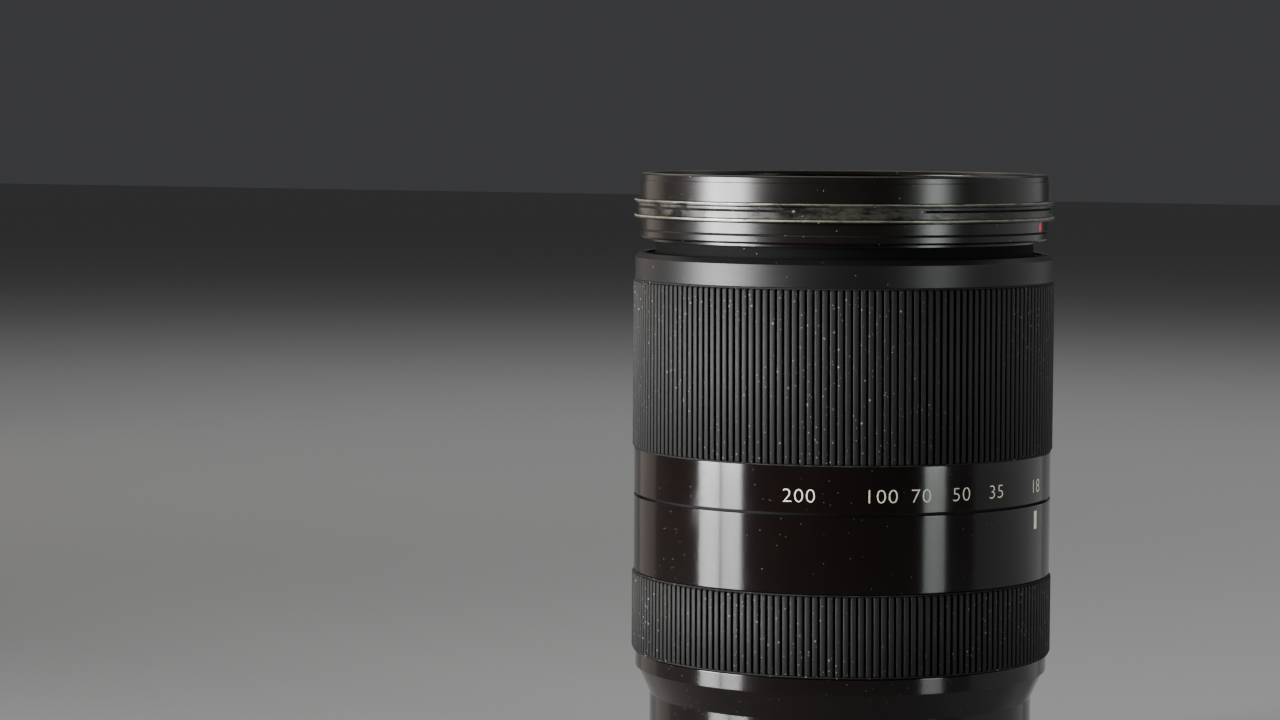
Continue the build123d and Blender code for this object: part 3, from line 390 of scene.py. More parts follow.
def copies_round(piece, copy, count, radius, height, start, turn, material):
    """Stand copies of a small shape round the lens and join them to the piece."""
    tree = bpy.data.node_groups.new("copies_round", "GeometryNodeTree")
    face = tree.interface
    face.new_socket("Geometry", in_out="OUTPUT", socket_type="NodeSocketGeometry")
    face.new_socket("Geometry", in_out="INPUT", socket_type="NodeSocketGeometry")
    sockets = {}
    for label, kind, value in (
        ("Copy", "NodeSocketObject", copy),
        ("Count", "NodeSocketInt", count),
        ("Radius", "NodeSocketFloat", radius),
        ("Height", "NodeSocketFloat", height),
        ("Start", "NodeSocketFloat", start),
        ("Turn", "NodeSocketFloat", turn),
        ("Material", "NodeSocketMaterial", material),
    ):
        sockets[face.new_socket(label, in_out="INPUT", socket_type=kind).identifier] = value

    def node(kind, values=(), **settings):
        made = tree.nodes.new(kind)
        for key, value in settings.items():
            setattr(made, key, value)
        for socket, value in dict(values).items():
            if isinstance(value, bpy.types.NodeSocket):
                tree.links.new(value, made.inputs[socket])
            else:
                made.inputs[socket].default_value = value
        return made.outputs

    given = node("NodeGroupInput")
    index = node("GeometryNodeInputIndex")[0]
    share = node("ShaderNodeMath", {0: index, 1: given["Count"]}, operation="DIVIDE")[0]
    swept = node("ShaderNodeMath", {0: share, 1: given["Turn"]}, operation="MULTIPLY")[0]
    angle = node("ShaderNodeMath", {0: swept, 1: given["Start"]}, operation="ADD")[0]
    cosine = node("ShaderNodeMath", {0: angle}, operation="COSINE")[0]
    sine = node("ShaderNodeMath", {0: angle}, operation="SINE")[0]
    x = node("ShaderNodeMath", {0: cosine, 1: given["Radius"]}, operation="MULTIPLY")[0]
    y = node("ShaderNodeMath", {0: sine, 1: given["Radius"]}, operation="MULTIPLY")[0]
    place = node("ShaderNodeCombineXYZ", {0: x, 1: y, 2: given["Height"]})[0]
    points = node("GeometryNodePoints", {"Count": given["Count"], "Position": place})[0]
    facing = node("ShaderNodeCombineXYZ", {2: angle})[0]
    shape = node("GeometryNodeObjectInfo", {"Object": given["Copy"]})["Geometry"]
    stood = node("GeometryNodeInstanceOnPoints", {"Points": points, "Instance": shape, "Rotation": facing})[0]
    real = node("GeometryNodeRealizeInstances", {0: stood})[0]
    joined = node("GeometryNodeJoinGeometry", {0: real})[0]
    tree.links.new(given["Geometry"], joined.node.inputs[0])
    coated = node("GeometryNodeSetMaterial", {"Geometry": joined, "Material": given["Material"]})[0]
    node("NodeGroupOutput", {0: coated})

    modifier = piece.modifiers.new("copies", "NODES")
    modifier.node_group = tree
    for identifier, value in sockets.items():
        modifier[identifier] = value
    bpy.context.view_layer.update()
    evaluated = piece.evaluated_get(bpy.context.evaluated_depsgraph_get())
    finished = bpy.data.meshes.new_from_object(evaluated)
    piece.modifiers.remove(modifier)
    piece.data = finished
    bpy.data.objects.remove(copy)


screw_low, screw_high = height_of("mount_screws")
screw_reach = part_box("mount_screws")[1].x
head_radius = 1.45 * mm
shank_radius = 0.8 * mm
slot_arm = 0.95 * mm
slot_half = 0.19 * mm
slot_deep = 0.45 * mm
slot_taper = 0.7
head_edge = 0.03 * mm
shank_end = 0.1 * mm
first_screw = math.radians(45)
screw_circle = (screw_reach - head_radius) / math.cos(first_screw)
screw_count = 4


def screw_shape(name):
    """One screw at the origin, head down: a flat face with a crossed slot, a cone and a shank."""
    mesh = bmesh.new()
    corners = []
    for quarter in range(4):
        turn = Matrix.Rotation(math.pi / 2 * quarter, 2)
        for point in ((slot_half, slot_half), (slot_half, slot_arm), (-slot_half, slot_arm)):
            corners.append(turn @ Vector(point))
    rings = []
    around = 48
    for radius, height in (
        (head_radius, 0),
        (head_radius + head_edge, 0.04 * mm),
        (head_radius, 4 * head_edge),
        (shank_radius, head_radius - shank_radius + shank_end),
        (shank_radius, screw_high - screw_low - shank_end),
        (shank_radius - shank_end, screw_high - screw_low),
    ):
        circle = [2 * math.pi * step / around for step in range(around)]
        rings.append([mesh.verts.new((radius * math.cos(a), radius * math.sin(a), height)) for a in circle])
    join_loops(mesh, rings)
    mesh.faces.new(rings[-1])
    mouth = [mesh.verts.new((*point, 0)) for point in corners]
    floor = [mesh.verts.new((*(point * slot_taper), slot_deep)) for point in corners]
    join_loops(mesh, (mouth, floor))
    mesh.faces.new(floor)
    edges = []
    for loop in (rings[0], mouth):
        edges += [mesh.edges.get((vertex, loop[number - 1])) for number, vertex in enumerate(loop)]
    bmesh.ops.triangle_fill(mesh, use_beauty=True, edges=edges)
    bmesh.ops.recalc_face_normals(mesh, faces=mesh.faces)
    return as_piece(name, mesh)


screw_steel = turned_metal("screw_steel", (0.40, 0.40, 0.41), (0.30, 0.30, 0.31), 0.26, 0.001 * mm)
screws = as_piece("mount_screw_set", bmesh.new())
screw = screw_shape("mount_screw")
copies_round(screws, screw, screw_count, screw_circle, screw_low, first_screw, 2 * math.pi, screw_steel)
screws.data.set_sharp_from_angle(angle=math.radians(35))
dress(screws, screw_steel, "rear", "screw_steel", "mount_screws")


# Contacts: a row of gold pads in a black moulded block that pass power and data to the camera.
# They are plated over nickel, and each shows the short rub marks of the camera's spring pins.
def moulded(name, tint, grain=0.004 * mm, roughness=0.5):
    """Moulded plastic with a spark-eroded grain."""
    finish = Finish(name, Specular_IOR_Level=0.45)
    texture = finish.noise(5200.0, detail=4.0, roughness=0.6)
    cloud = finish.noise(110.0, detail=3.0)
    return finish.wear(
        Base_Color=finish.mix(cloud, tint, tuple(1.35 * part for part in tint)),
        Roughness=roughness + texture * 0.16,
        Normal=finish.bump(texture, grain),
    )


moulded_black = moulded("moulded_black", (0.016, 0.016, 0.017))
finish_cad(moulded_black, "contact_block")
gold = Finish("contact_gold", Metallic=1.0)
rubs = gold.noise(1800.0, detail=3.0, stretch=(0.2, 1, 1)).step(0.5, 0.64)
cloud = gold.noise(600.0, detail=2.0)
finish_cad(
    gold.wear(
        Base_Color=gold.mix(cloud, (0.83, 0.60, 0.24), (0.74, 0.52, 0.21)),
        Roughness=0.18 + rubs * 0.16,
        Normal=gold.bump(rubs, 0.0015 * mm),
    ),
    "contact_pins",
)


# Light baffle: a black plate with a rounded window, behind the rear glass. Its flocked paint
# keeps stray light off the sensor.
def flocked(name, tint, fibre, depth):
    """Felt or flock: short fibres that catch a little light."""
    finish = Finish(name, Specular_IOR_Level=0.15, Sheen_Weight=0.25, Sheen_Roughness=0.5)
    fuzz = finish.noise(1 / fibre, detail=5.0, roughness=0.8)
    nap = finish.noise(260.0, detail=2.0)
    shade = finish.mix(fuzz, tint, tuple(2.4 * part for part in tint))
    return finish.wear(
        Base_Color=finish.mix(nap * 0.4, shade, tint),
        Roughness=0.85 + fuzz * 0.12,
        Normal=finish.bump(fuzz, depth),
    )


finish_cad(flocked("baffle_flock", (0.006, 0.006, 0.0065), 0.12 * mm, 0.02 * mm), "rear_baffle")


# Fixed frame: a glass-filled black moulding that the mount and both rings are built on. The
# guide barrel is screwed into it, and the circuit board and focus sensors sit against it.
finish_cad(moulded("frame_plastic", (0.019, 0.019, 0.020), 0.008 * mm, 0.55), "main_frame", "focus_sensors")
board = Finish("board_green", Coat_Weight=0.4, Coat_Roughness=0.15)
traces = board.node(
    "ShaderNodeTexVoronoi", {"feature": "DISTANCE_TO_EDGE"}, {"Vector": board.place(), "Scale": 620.0}
)
copper = 1 - traces.step(0.05, 0.09)
pads = board.specks(420.0, 0.2)
mask_green = board.mix(copper, (0.010, 0.075, 0.032), (0.024, 0.13, 0.055))
finish_cad(
    board.wear(
        Base_Color=board.mix(pads, mask_green, (0.62, 0.58, 0.50)),
        Metallic=pads * 0.9,
        Roughness=0.4 - pads * 0.15,
        Normal=board.bump(copper * 0.5 + pads * 0.5, 0.02 * mm),
    ),
    "main_board",
)
cam_metal = turned_metal("cam_metal", (0.20, 0.20, 0.21), (0.14, 0.14, 0.15), 0.34, 0.002 * mm)
finish_cad(cam_metal, "guide_barrel", "cam_barrel")
dark_screw = turned_metal("dark_screw", (0.10, 0.10, 0.105), (0.07, 0.07, 0.075), 0.3, 0.001 * mm)
finish_cad(dark_screw, "barrel_screws")
finish_cad(
    turned_metal("key_brass", (0.62, 0.45, 0.19), (0.50, 0.35, 0.14), 0.26, 0.002 * mm), "zoom_drive_key"
)


# Moving groups: each is a black cell of glass on three white rollers, which run in the slots of
# the guide barrel and are lifted by the cam. One carries the iris, the last the focusing glass.
def satin_black(name, tint, turning, roughness, shine=0.4):
    """Matte-etched black anodising with fine turning lines."""
    finish = Finish(name, Specular_IOR_Level=shine)
    lines = finish.noise(1.0, detail=3.0, roughness=0.7, stretch=(90, 90, 7000))
    etch = finish.noise(6000.0, detail=3.0)
    cloud = finish.noise(70.0, detail=3.0)
    shade = finish.mix(cloud, tint, tuple(1.4 * part for part in tint))
    lint = finish.specks(650.0, 0.06)
    return finish.wear(
        Base_Color=finish.mix(lint * 0.5, shade, (0.3, 0.29, 0.27)),
        Roughness=roughness + lines * 0.1 + etch * 0.06 + lint * 0.3,
        Normal=finish.bump(lines * 0.6 + etch * 0.4, turning),
    )


cell_black = satin_black("cell_black", (0.011, 0.011, 0.012), 0.004 * mm, 0.42)
finish_cad(cell_black, "variator_cell", "relay_cell", "iris_cover", "rear_cell", "focus_cell")
finish_cad(cell_black, "stabiliser_slider", "stabiliser_frame", "iris_drive_ring")
roller_white = moulded("roller_white", (0.62, 0.61, 0.57), 0.002 * mm, 0.4)
finish_cad(roller_white, "variator_rollers", "relay_rollers", "rear_rollers")
blades = ["iris_blade_%d" % number for number in range(1, 8)]
blade_black = turned_metal("blade_black", (0.035, 0.036, 0.040), (0.025, 0.026, 0.03), 0.38, 0.001 * mm)
finish_cad(blade_black, *blades)
rod_steel = turned_metal("rod_steel", (0.58, 0.58, 0.59), (0.48, 0.48, 0.49), 0.14, 0.001 * mm)
finish_cad(rod_steel, "focus_rods")
magnet_nickel = turned_metal("magnet_nickel", (0.60, 0.59, 0.57), (0.5, 0.49, 0.47), 0.2, 0.001 * mm)
finish_cad(magnet_nickel, "focus_magnets")


def coated_glass(name, coating, film):
    """Polished optical glass with an anti-reflection coating that tints what it mirrors."""
    finish = Finish(
        name,
        Transmission_Weight=1.0,
        IOR=1.62,
        Thin_Film_Thickness=film,
        Thin_Film_IOR=1.38,
    )
    bloom = finish.noise(60.0, detail=3.0)
    dust = finish.specks(420.0, 0.03)
    return finish.wear(
        Base_Color=finish.mix(bloom, coating, tuple(0.97 * part for part in coating)),
        Roughness=dust * 0.25,
    )


inner_glass = coated_glass("inner_glass", (0.94, 0.97, 0.95), 320.0)
finish_cad(inner_glass, "variator_lens_front", "variator_lens_rear", "relay_lens", "stabiliser_lens")
finish_cad(inner_glass, "rear_lens", "focus_lens")


# Rear cover: a black anodised aluminium tube, turned and polished, that narrows from the trim
# band under the focus ring to the mount. A white mounting dot is let into it.
def gloss_black(name, tint, hairlines):
    """Polished black anodising over fine turning lines, with faint handling marks."""
    finish = Finish(name, Specular_IOR_Level=0.36)
    lines = finish.noise(1.0, detail=3.0, roughness=0.7, stretch=(70, 70, 9000))
    smears = finish.noise(160.0, detail=5.0, roughness=0.6, stretch=(1, 1, 0.5))
    dust = finish.specks(900.0, 0.07)
    shade = finish.mix(smears, tint, tuple(1.6 * part for part in tint))
    return finish.wear(
        Base_Color=finish.mix(dust * 0.35, shade, (0.3, 0.28, 0.26)),
        Roughness=0.07 + lines * 0.06 + smears.step(0.5, 0.75) * 0.05 + dust * 0.4,
        Normal=finish.bump(lines, hairlines),
    )


band_gloss = gloss_black("band_gloss_black", (0.003, 0.0018, 0.0016), 0.0012 * mm)
cover_low, cover_high = height_of("rear_cover")
trim_radius = reach_of("rear_cover")
barrel_radius = trim_radius - 2.37 * mm
shoulder_low = cover_low + 12.25 * mm
trim_low = cover_high - 2.6 * mm
cover_wall = 0.8 * mm
rear_cover = lathe(
    "rear_cover_shell",
    rounded(
        [
            (barrel_radius - cover_wall, cover_low),
            (barrel_radius, cover_low),
            (barrel_radius, shoulder_low),
            (trim_radius - 0.37 * mm, trim_low),
            (trim_radius, trim_low),
            (trim_radius, cover_high),
            (trim_radius - cover_wall, cover_high),
            (trim_radius - cover_wall, trim_low - 0.3 * mm),
            (barrel_radius - cover_wall, shoulder_low),
        ],
        0.12 * mm,
    ),
)
dress(rear_cover, band_gloss, "rear", "gloss_black", "rear_cover")


def paint(name, colour):
    """Paint wiped into a shallow engraving, slightly uneven."""
    finish = Finish(name)
    mottle = finish.noise(2500.0, detail=3.0)
    return finish.wear(
        Base_Color=finish.mix(mottle, colour, tuple(0.78 * part for part in colour)),
        Roughness=0.42 + mottle * 0.2,
        Normal=finish.bump(mottle, 0.004 * mm),
    )


white_paint = paint("scale_white", (0.78, 0.72, 0.58))
mount_dot_bearing = 60.0
mount_dot_height = cover_low + 3.6 * mm
dot_radius = 1.1 * mm
dot_sink = -0.1 * mm
dot_points = [(0, 0.03 * mm), (dot_radius * 0.9, 0.02 * mm), (dot_radius, 0), (dot_radius, dot_sink)]
dot_points.append((0, dot_sink))
mounting_dot = lathe("mounting_dot", dot_points, closed=False, round_steps=48)


def stand_on_barrel(piece, bearing, radius, height):
    """Turn a piece made flat at the origin so that it faces outward, and bend it to the barrel."""
    for vertex in piece.data.vertices:
        across, upward, outward = vertex.co
        turn = math.radians(bearing) + across / radius
        far = radius + outward
        vertex.co = (far * math.sin(turn), -far * math.cos(turn), height + upward)


stand_on_barrel(mounting_dot, mount_dot_bearing, barrel_radius, mount_dot_height)
dress(mounting_dot, white_paint, "rear", "white_mark")


# Rubber grips: two black rubber sleeves moulded with straight ribs and stretched over the zoom
# and focus rings, which are dull black metal. The ribs stop at a thin plain lip; dust lies on them.
rib_count = 180
rib_depth = 0.55 * mm
rib_width = 0.81 * mm
rib_lean = math.radians(0.45)
grip_lip = 0.25 * mm
grip_thickness = 1.4 * mm
grip_radius = reach_of("zoom_grip")


def rib_shape(name, length):
    """One rib, root at the origin, standing out along +X and running up +Z."""
    half = rib_width / 2
    sink = 0.1 * mm
    section = [
        (-half, -sink),
        (-half, 0.78 * rib_depth),
        (-0.9 * half, 0.93 * rib_depth),
        (-0.68 * half, rib_depth),
        (0.68 * half, rib_depth),
        (0.9 * half, 0.93 * rib_depth),
        (half, 0.78 * rib_depth),
        (half, -sink),
    ]
    rows = [(0, 0.9), (0.1 * mm, 0.3), (0.3 * mm, 0)]
    rows += [(length - height, drop) for height, drop in reversed(rows)]
    mesh = bmesh.new()
    rings = []
    for height, drop in rows:
        shift = (height - length / 2) * math.tan(rib_lean)
        ring = []
        for across, out in section:
            lowered = out - drop * rib_depth if out > 0 else out
            ring.append(mesh.verts.new((max(lowered, -sink), across - shift, height)))
        rings.append(ring)
    join_loops(mesh, rings)
    mesh.faces.new(rings[0])
    mesh.faces.new(rings[-1])
    bmesh.ops.recalc_face_normals(mesh, faces=mesh.faces)
    rib = as_piece(name, mesh)
    rib.data.shade_smooth()
    return rib


rubber = Finish("ribbed_rubber", Specular_IOR_Level=0.15)
skin = rubber.noise(3500.0, detail=4.0, roughness=0.7)
handling = rubber.noise(90.0, detail=3.0)
crest = rubber.radius().step(grip_radius - 0.25 * mm, grip_radius - 0.01 * mm)
lint = rubber.specks(620.0, 0.11).larger(rubber.specks(1250.0, 0.14))
lint_patches = rubber.noise(45.0, detail=2.0).step(0.34, 0.56)
groove_shade = rubber.radius().step(grip_radius - 0.5 * mm, grip_radius - 0.2 * mm)
dust = lint * lint_patches
dark = rubber.mix(handling, (0.0062, 0.0061, 0.0061), (0.0092, 0.0091, 0.0090))
crested = rubber.mix(crest * 0.5, dark, (0.0165, 0.0162, 0.016))
# Painted shade: deep in the grooves between the ribs the rubber's colour falls to near black, standing in for
# the shade there.
groove_shaded = rubber.mix(groove_shade, (0.002, 0.002, 0.002), crested)
rubber.wear(
    Base_Color=rubber.mix(dust * 0.7, groove_shaded, (0.26, 0.25, 0.23)),
    Roughness=0.58 + skin * 0.16 - crest * 0.08 + dust * 0.2,
    Normal=rubber.bump(skin, 0.02 * mm),
)


def grip(name, node, body):
    """A ribbed sleeve in the place of its CAD node."""
    low, high = height_of(node)
    outer = reach_of(node)
    root = outer - rib_depth
    lip = outer - 0.22 * mm
    sleeve = lathe(
        name,
        rounded(
            [
                (outer - grip_thickness, low),
                (lip, low),
                (lip, low + grip_lip),
                (root, low + grip_lip + 0.1 * mm),
                (root, high - grip_lip - 0.1 * mm),
                (lip, high - grip_lip),
                (lip, high),
                (outer - grip_thickness, high),
            ],
            0.18 * mm,
        ),
    )
    length = high - low - 2 * grip_lip + 0.1 * mm
    rib = rib_shape(name + "_rib", length)
    bottom = low + grip_lip - 0.05 * mm
    copies_round(sleeve, rib, rib_count, root, bottom, 0, 2 * math.pi, rubber.material)
    return dress(sleeve, rubber.material, body, "rubber", node)


grip("focus_grip_rubber", "focus_grip", "focus")
grip("zoom_grip_rubber", "zoom_grip", "zoom")
ring_black = satin_black("ring_black", (0.003, 0.003, 0.003), 0.004 * mm, 0.5, shine=0.1)
finish_cad(ring_black, "zoom_ring", "focus_ring")


# Index band and scale ring: two glossy black aluminium bands of the same width across. The
# lower one is fixed and carries the index line; the upper one turns and carries the scale.
band_edge = 0.06 * mm
scale_radius = reach_of("scale_ring")
scale_low, scale_high = height_of("scale_ring")
ring_bore = grip_radius - grip_thickness
scale_outline = [(ring_bore, scale_low), (scale_radius, scale_low)]
scale_outline += [(scale_radius, scale_high), (ring_bore, scale_high)]
scale_ring = lathe("scale_ring_band", rounded(scale_outline, band_edge))
dress(scale_ring, band_gloss, "zoom", "gloss_black", "scale_ring")
index_low, index_high = height_of("index_band")
index_lip = 0.92 * mm
index_bore = scale_radius - 0.73 * mm
index_outline = [
    (index_bore, index_low),
    (scale_radius, index_low),
    (scale_radius, index_high),
    (ring_bore + 0.1 * mm, index_high),
    (ring_bore + 0.1 * mm, index_high - index_lip),
    (index_bore, index_high - index_lip),
]
index_band = lathe("index_band_shell", rounded(index_outline, band_edge))
window_low = index_low + 3.45 * mm
window_high = window_low + 5.2 * mm
window_half = math.radians(4.2)
window_steps = 8


def cut_window(piece, half_angle, low, high, inner, outer):
    """Cut a curved window through a band, over the side that faces along +X."""
    mesh = bmesh.new()
    slices = []
    for step in range(window_steps + 1):
        angle = half_angle * (2 * step / window_steps - 1)
        corners = ((inner, low), (outer, low), (outer, high), (inner, high))
        slices.append([mesh.verts.new((r * math.cos(angle), r * math.sin(angle), z)) for r, z in corners])
    join_loops(mesh, slices)
    mesh.faces.new(slices[0])
    mesh.faces.new(slices[-1])
    bmesh.ops.recalc_face_normals(mesh, faces=mesh.faces)
    cutter = as_piece("window_cutter", mesh)
    cut = piece.modifiers.new("window", "BOOLEAN")
    cut.operation = "DIFFERENCE"
    cut.solver = "EXACT"
    cut.object = cutter
    bpy.context.view_layer.update()
    graph = bpy.context.evaluated_depsgraph_get()
    opened = bpy.data.meshes.new_from_object(piece.evaluated_get(graph))
    piece.modifiers.clear()
    piece.data = opened
    bpy.data.objects.remove(cutter)


cut_window(index_band, window_half, window_low, window_high, index_bore - mm, scale_radius + mm)
dress(index_band, band_gloss, "rear", "gloss_black", "index_band")


# Index mark and zoom lock: the mark is paint in an engraved slot; the lock is a small ribbed
# slide that holds the zoom ring at its shortest setting.
finish_cad(white_paint, "index_mark")
finish_cad(moulded("lock_plastic", (0.020, 0.020, 0.021), 0.004 * mm, 0.42), "zoom_lock_switch")


# Scale numbers: focal lengths in millimetres, engraved round the scale ring and filled with
# warm white paint. Each stands over the index line when the ring is turned to it.
digit_height = 2.05 * mm
digit_stretch = 1.12
digit_middle = index_high + 3.13 * mm
paint_lift = 0.012 * mm
zoom_marks = ((18, 0.0), (35, -19.8), (50, -32.1), (70, -44.1), (100, -55.0), (200, -76.7))


def number_mesh(text):
    """A number drawn flat, its middle at the origin, as a thin closed plate."""
    curve = bpy.data.curves.new("number_" + text, "FONT")
    curve.body = text
    curve.align_x = "CENTER"
    curve.space_character = 1.08
    curve.resolution_u = 6
    curve.extrude = 0.01
    curve.offset = -0.018
    writer = bpy.data.objects.new("number_" + text, curve)
    bpy.context.collection.objects.link(writer)
    bpy.context.view_layer.update()
    mesh = bpy.data.meshes.new_from_object(writer.evaluated_get(bpy.context.evaluated_depsgraph_get()))
    bpy.data.objects.remove(writer)
    low = min(vertex.co.y for vertex in mesh.vertices)
    high = max(vertex.co.y for vertex in mesh.vertices)
    size = digit_height / (high - low)
    for vertex in mesh.vertices:
        across, upward, outward = vertex.co
        vertex.co = (
            across * size * digit_stretch,
            (upward - (low + high) / 2) * size,
            paint_lift if outward > 0 else -paint_lift,
        )
    return mesh


numbers = bmesh.new()
for value, bearing in zoom_marks:
    flat = bpy.data.objects.new("flat", number_mesh(str(value)))
    stand_on_barrel(flat, bearing, scale_radius, digit_middle)
    numbers.from_mesh(flat.data)
    bpy.data.objects.remove(flat)
bmesh.ops.remove_doubles(numbers, verts=numbers.verts, dist=0.0005 * mm)
bmesh.ops.recalc_face_normals(numbers, faces=numbers.faces)
scale_numbers = as_piece("scale_numbers", numbers)
dress(scale_numbers, white_paint, "zoom", "white_mark")


# Cap ring: satin black aluminium, pressed on in front of the zoom grip, with a bevel towards
# the neck. The felt that keeps dust out sits behind it.
cap_satin = satin_black("cap_satin_black", (0.0035, 0.0034, 0.0035), 0.004 * mm, 0.32, shine=0.22)
cap_low, cap_high = height_of("cap_ring")
cap_radius = reach_of("cap_ring")
cap_bevel = 0.8 * mm
cap_lip = 0.6 * mm
cap_bore = ring_bore - 0.8 * mm
cap_outline = [
    (ring_bore, cap_low),
    (cap_radius, cap_low),
    (cap_radius, cap_high - cap_bevel),
    (cap_radius - cap_bevel, cap_high),
    (cap_bore, cap_high),
    (cap_bore, cap_high - cap_lip),
    (ring_bore, cap_high - cap_lip),
]
cap_ring = lathe("cap_ring_shell", rounded(cap_outline, 0.1 * mm))
dress(cap_ring, cap_satin, "zoom", "satin_black", "cap_ring")
finish_cad(flocked("felt_black", (0.010, 0.010, 0.011), 0.09 * mm, 0.03 * mm), "dust_seal")


# Extension barrels: two black tubes, one inside the other. The outer turns with the zoom ring
# as it climbs; the inner moves straight out and carries the front ring and front glass.
extension_black = satin_black("extension_black", (0.0055, 0.0055, 0.0058), 0.004 * mm, 0.34, shine=0.25)
finish_cad(extension_black, "extension_barrel")
# Painted shade: the neck between the front ring and the cap ring gets a much darker, duller black than the
# other finishes, standing in for the shade in that recess.
neck_shaded_black = satin_black("neck_shaded_black", (0.0012, 0.0012, 0.0013), 0.003 * mm, 0.6, shine=0.05)
finish_cad(neck_shaded_black, "front_barrel")


# Front ring: turned aluminium, semi-gloss black. The filter thread is cut inside it, and the
# two ridges outside take the bayonet of a hood, whose use has rubbed their edges bare.
front_low, front_high = height_of("front_ring")
ridge_radius = reach_of("front_ring")
rim_radius = ridge_radius - 0.97 * mm
lower_radius = ridge_radius - 1.07 * mm
waist_radius = ridge_radius - 0.37 * mm
neck_radius = reach_of("front_barrel")
filter_radius = ridge_radius - 3.27 * mm
step_radius = lower_radius - 1.4 * mm
lower_bevel = 0.3 * mm
seam_depth = 0.35 * mm
lower_lip = 0.1 * mm
ridge_bevel = 0.1 * mm
ridge_slope = 0.15 * mm
track_edge = 0.01 * mm
rim_step_low = front_high - 1.1 * mm
rim_step = 0.12 * mm
rim_bevel = 0.3 * mm
filter_mouth = 0.6 * mm
thread_pitch = 0.75 * mm
thread_depth = 0.42 * mm
thread_turns = 4
body_low = front_low + 0.45 * mm
seam_low = body_low + 1.2 * mm
seam_high = seam_low + 0.3 * mm
lower_top = body_low + 3.2 * mm
lower_ridge = (body_low + 3.3 * mm, body_low + 3.8 * mm)
upper_ridge = (body_low + 5.85 * mm, body_low + 6.35 * mm)
hood_track = (body_low + 4.95 * mm, body_low + 5.3 * mm)
hood_track_depth = 0.35 * mm
hood_track_count = 3
hood_track_start = -43.7
hood_track_turn = 84.0

front_outline = [
    (neck_radius, front_low),
    (step_radius, front_low),
    (step_radius, body_low),
    (lower_radius - lower_bevel, body_low),
    (lower_radius, body_low + lower_bevel),
    (lower_radius, seam_low),
    (lower_radius - seam_depth, seam_low),
    (lower_radius - seam_depth, seam_high),
    (lower_radius, seam_high),
    (lower_radius, lower_top),
    (lower_radius - lower_lip, lower_ridge[0]),
    (ridge_radius - ridge_bevel, lower_ridge[0]),
    (ridge_radius, lower_ridge[0] + ridge_bevel),
    (ridge_radius, lower_ridge[1]),
    (waist_radius, lower_ridge[1] + ridge_slope),
    (waist_radius, hood_track[0] - 2 * track_edge),
    (waist_radius - track_edge, hood_track[0]),
    (waist_radius - track_edge, hood_track[1]),
    (waist_radius, hood_track[1] + 2 * track_edge),
    (waist_radius, upper_ridge[0] - ridge_slope),
    (ridge_radius, upper_ridge[0]),
    (ridge_radius, upper_ridge[1] - ridge_bevel),
    (ridge_radius - ridge_bevel, upper_ridge[1]),
    (rim_radius, upper_ridge[1]),
    (rim_radius, rim_step_low),
    (rim_radius - rim_step, rim_step_low),
    (rim_radius - rim_step, front_high - rim_bevel),
    (rim_radius - rim_step - rim_bevel, front_high),
    (filter_radius + filter_mouth, front_high),
]
thread_top = front_high - filter_mouth
front_outline.append((filter_radius, thread_top))
for turn in range(thread_turns):
    crest_height = thread_top - (turn + 0.25) * thread_pitch
    front_outline.append((filter_radius, crest_height + 0.05 * mm))
    front_outline.append((filter_radius + thread_depth, crest_height - 0.3 * mm))
    front_outline.append((filter_radius, crest_height - 0.6 * mm))
seat_height = front_high - 3.8 * mm
seat_bore = filter_radius - 0.6 * mm
socket_top = body_low + 3.5 * mm
front_outline += [
    (filter_radius, seat_height),
    (seat_bore, seat_height),
    (seat_bore, socket_top),
    (neck_radius, socket_top),
]
front_ring = lathe("front_ring_shell", rounded(front_outline, 0.05 * mm), round_steps=288)
for vertex in front_ring.data.vertices:
    spread = Vector(vertex.co[:2])
    in_track = hood_track[0] - 0.001 * mm < vertex.co.z < hood_track[1] + 0.001 * mm
    if in_track and waist_radius - 0.1 * mm < spread.length < waist_radius - 0.005 * mm:
        bearing = math.degrees(math.atan2(spread.x, -spread.y))
        if (bearing - hood_track_start) % (360 / hood_track_count) < hood_track_turn:
            vertex.co.xy = spread * (1 - hood_track_depth / spread.length)

front_black = Finish("front_ring_worn_black", Specular_IOR_Level=0.24)
lines = front_black.noise(1.0, detail=4.0, roughness=0.75, stretch=(80, 80, 6500))
cloud = front_black.noise(120.0, detail=5.0, roughness=0.65)
scuff = front_black.noise(900.0, detail=5.0, roughness=0.75, stretch=(0.35, 0.35, 1.4))
height = front_black.along(2)
far_out = front_black.radius()
bare_edge = far_out.step(ridge_radius - 0.09 * mm, ridge_radius - 0.01 * mm)
upper_edge = height.step(upper_ridge[1] - 0.32 * mm, upper_ridge[1] - 0.16 * mm)
lower_edge = height.step(lower_ridge[1] - 0.32 * mm, lower_ridge[1] - 0.16 * mm)
lower_edge = lower_edge * (1 - height.step(upper_ridge[0] - 0.3 * mm, upper_ridge[0] - 0.1 * mm))
rubbed = bare_edge * upper_edge.larger(lower_edge) * scuff.step(0.25, 0.6)
in_seam = height.step(seam_low, seam_low + 0.02 * mm) * (1 - height.step(seam_high - 0.02 * mm, seam_high))
in_seam = in_seam * (1 - far_out.step(lower_radius - 0.15 * mm, lower_radius - 0.04 * mm))
track_shade = height.step(hood_track[0] - 0.02 * mm, hood_track[0])
track_shade = track_shade * (1 - height.step(hood_track[1], hood_track[1] + 0.02 * mm))
track_shade = track_shade * (1 - far_out.step(waist_radius - 0.2 * mm, waist_radius - 0.05 * mm))
recess_shade = in_seam.larger(track_shade)
in_waist = height.step(lower_ridge[0], lower_ridge[1])
in_waist = in_waist * (1 - height.step(upper_ridge[0], upper_ridge[1]))
scraped = in_waist * cloud.step(0.42, 0.6) * scuff.step(0.3, 0.6)
lint = front_black.specks(700.0, 0.07)
rim_highlight = height.step(front_high - 0.25 * mm, front_high - 0.02 * mm)
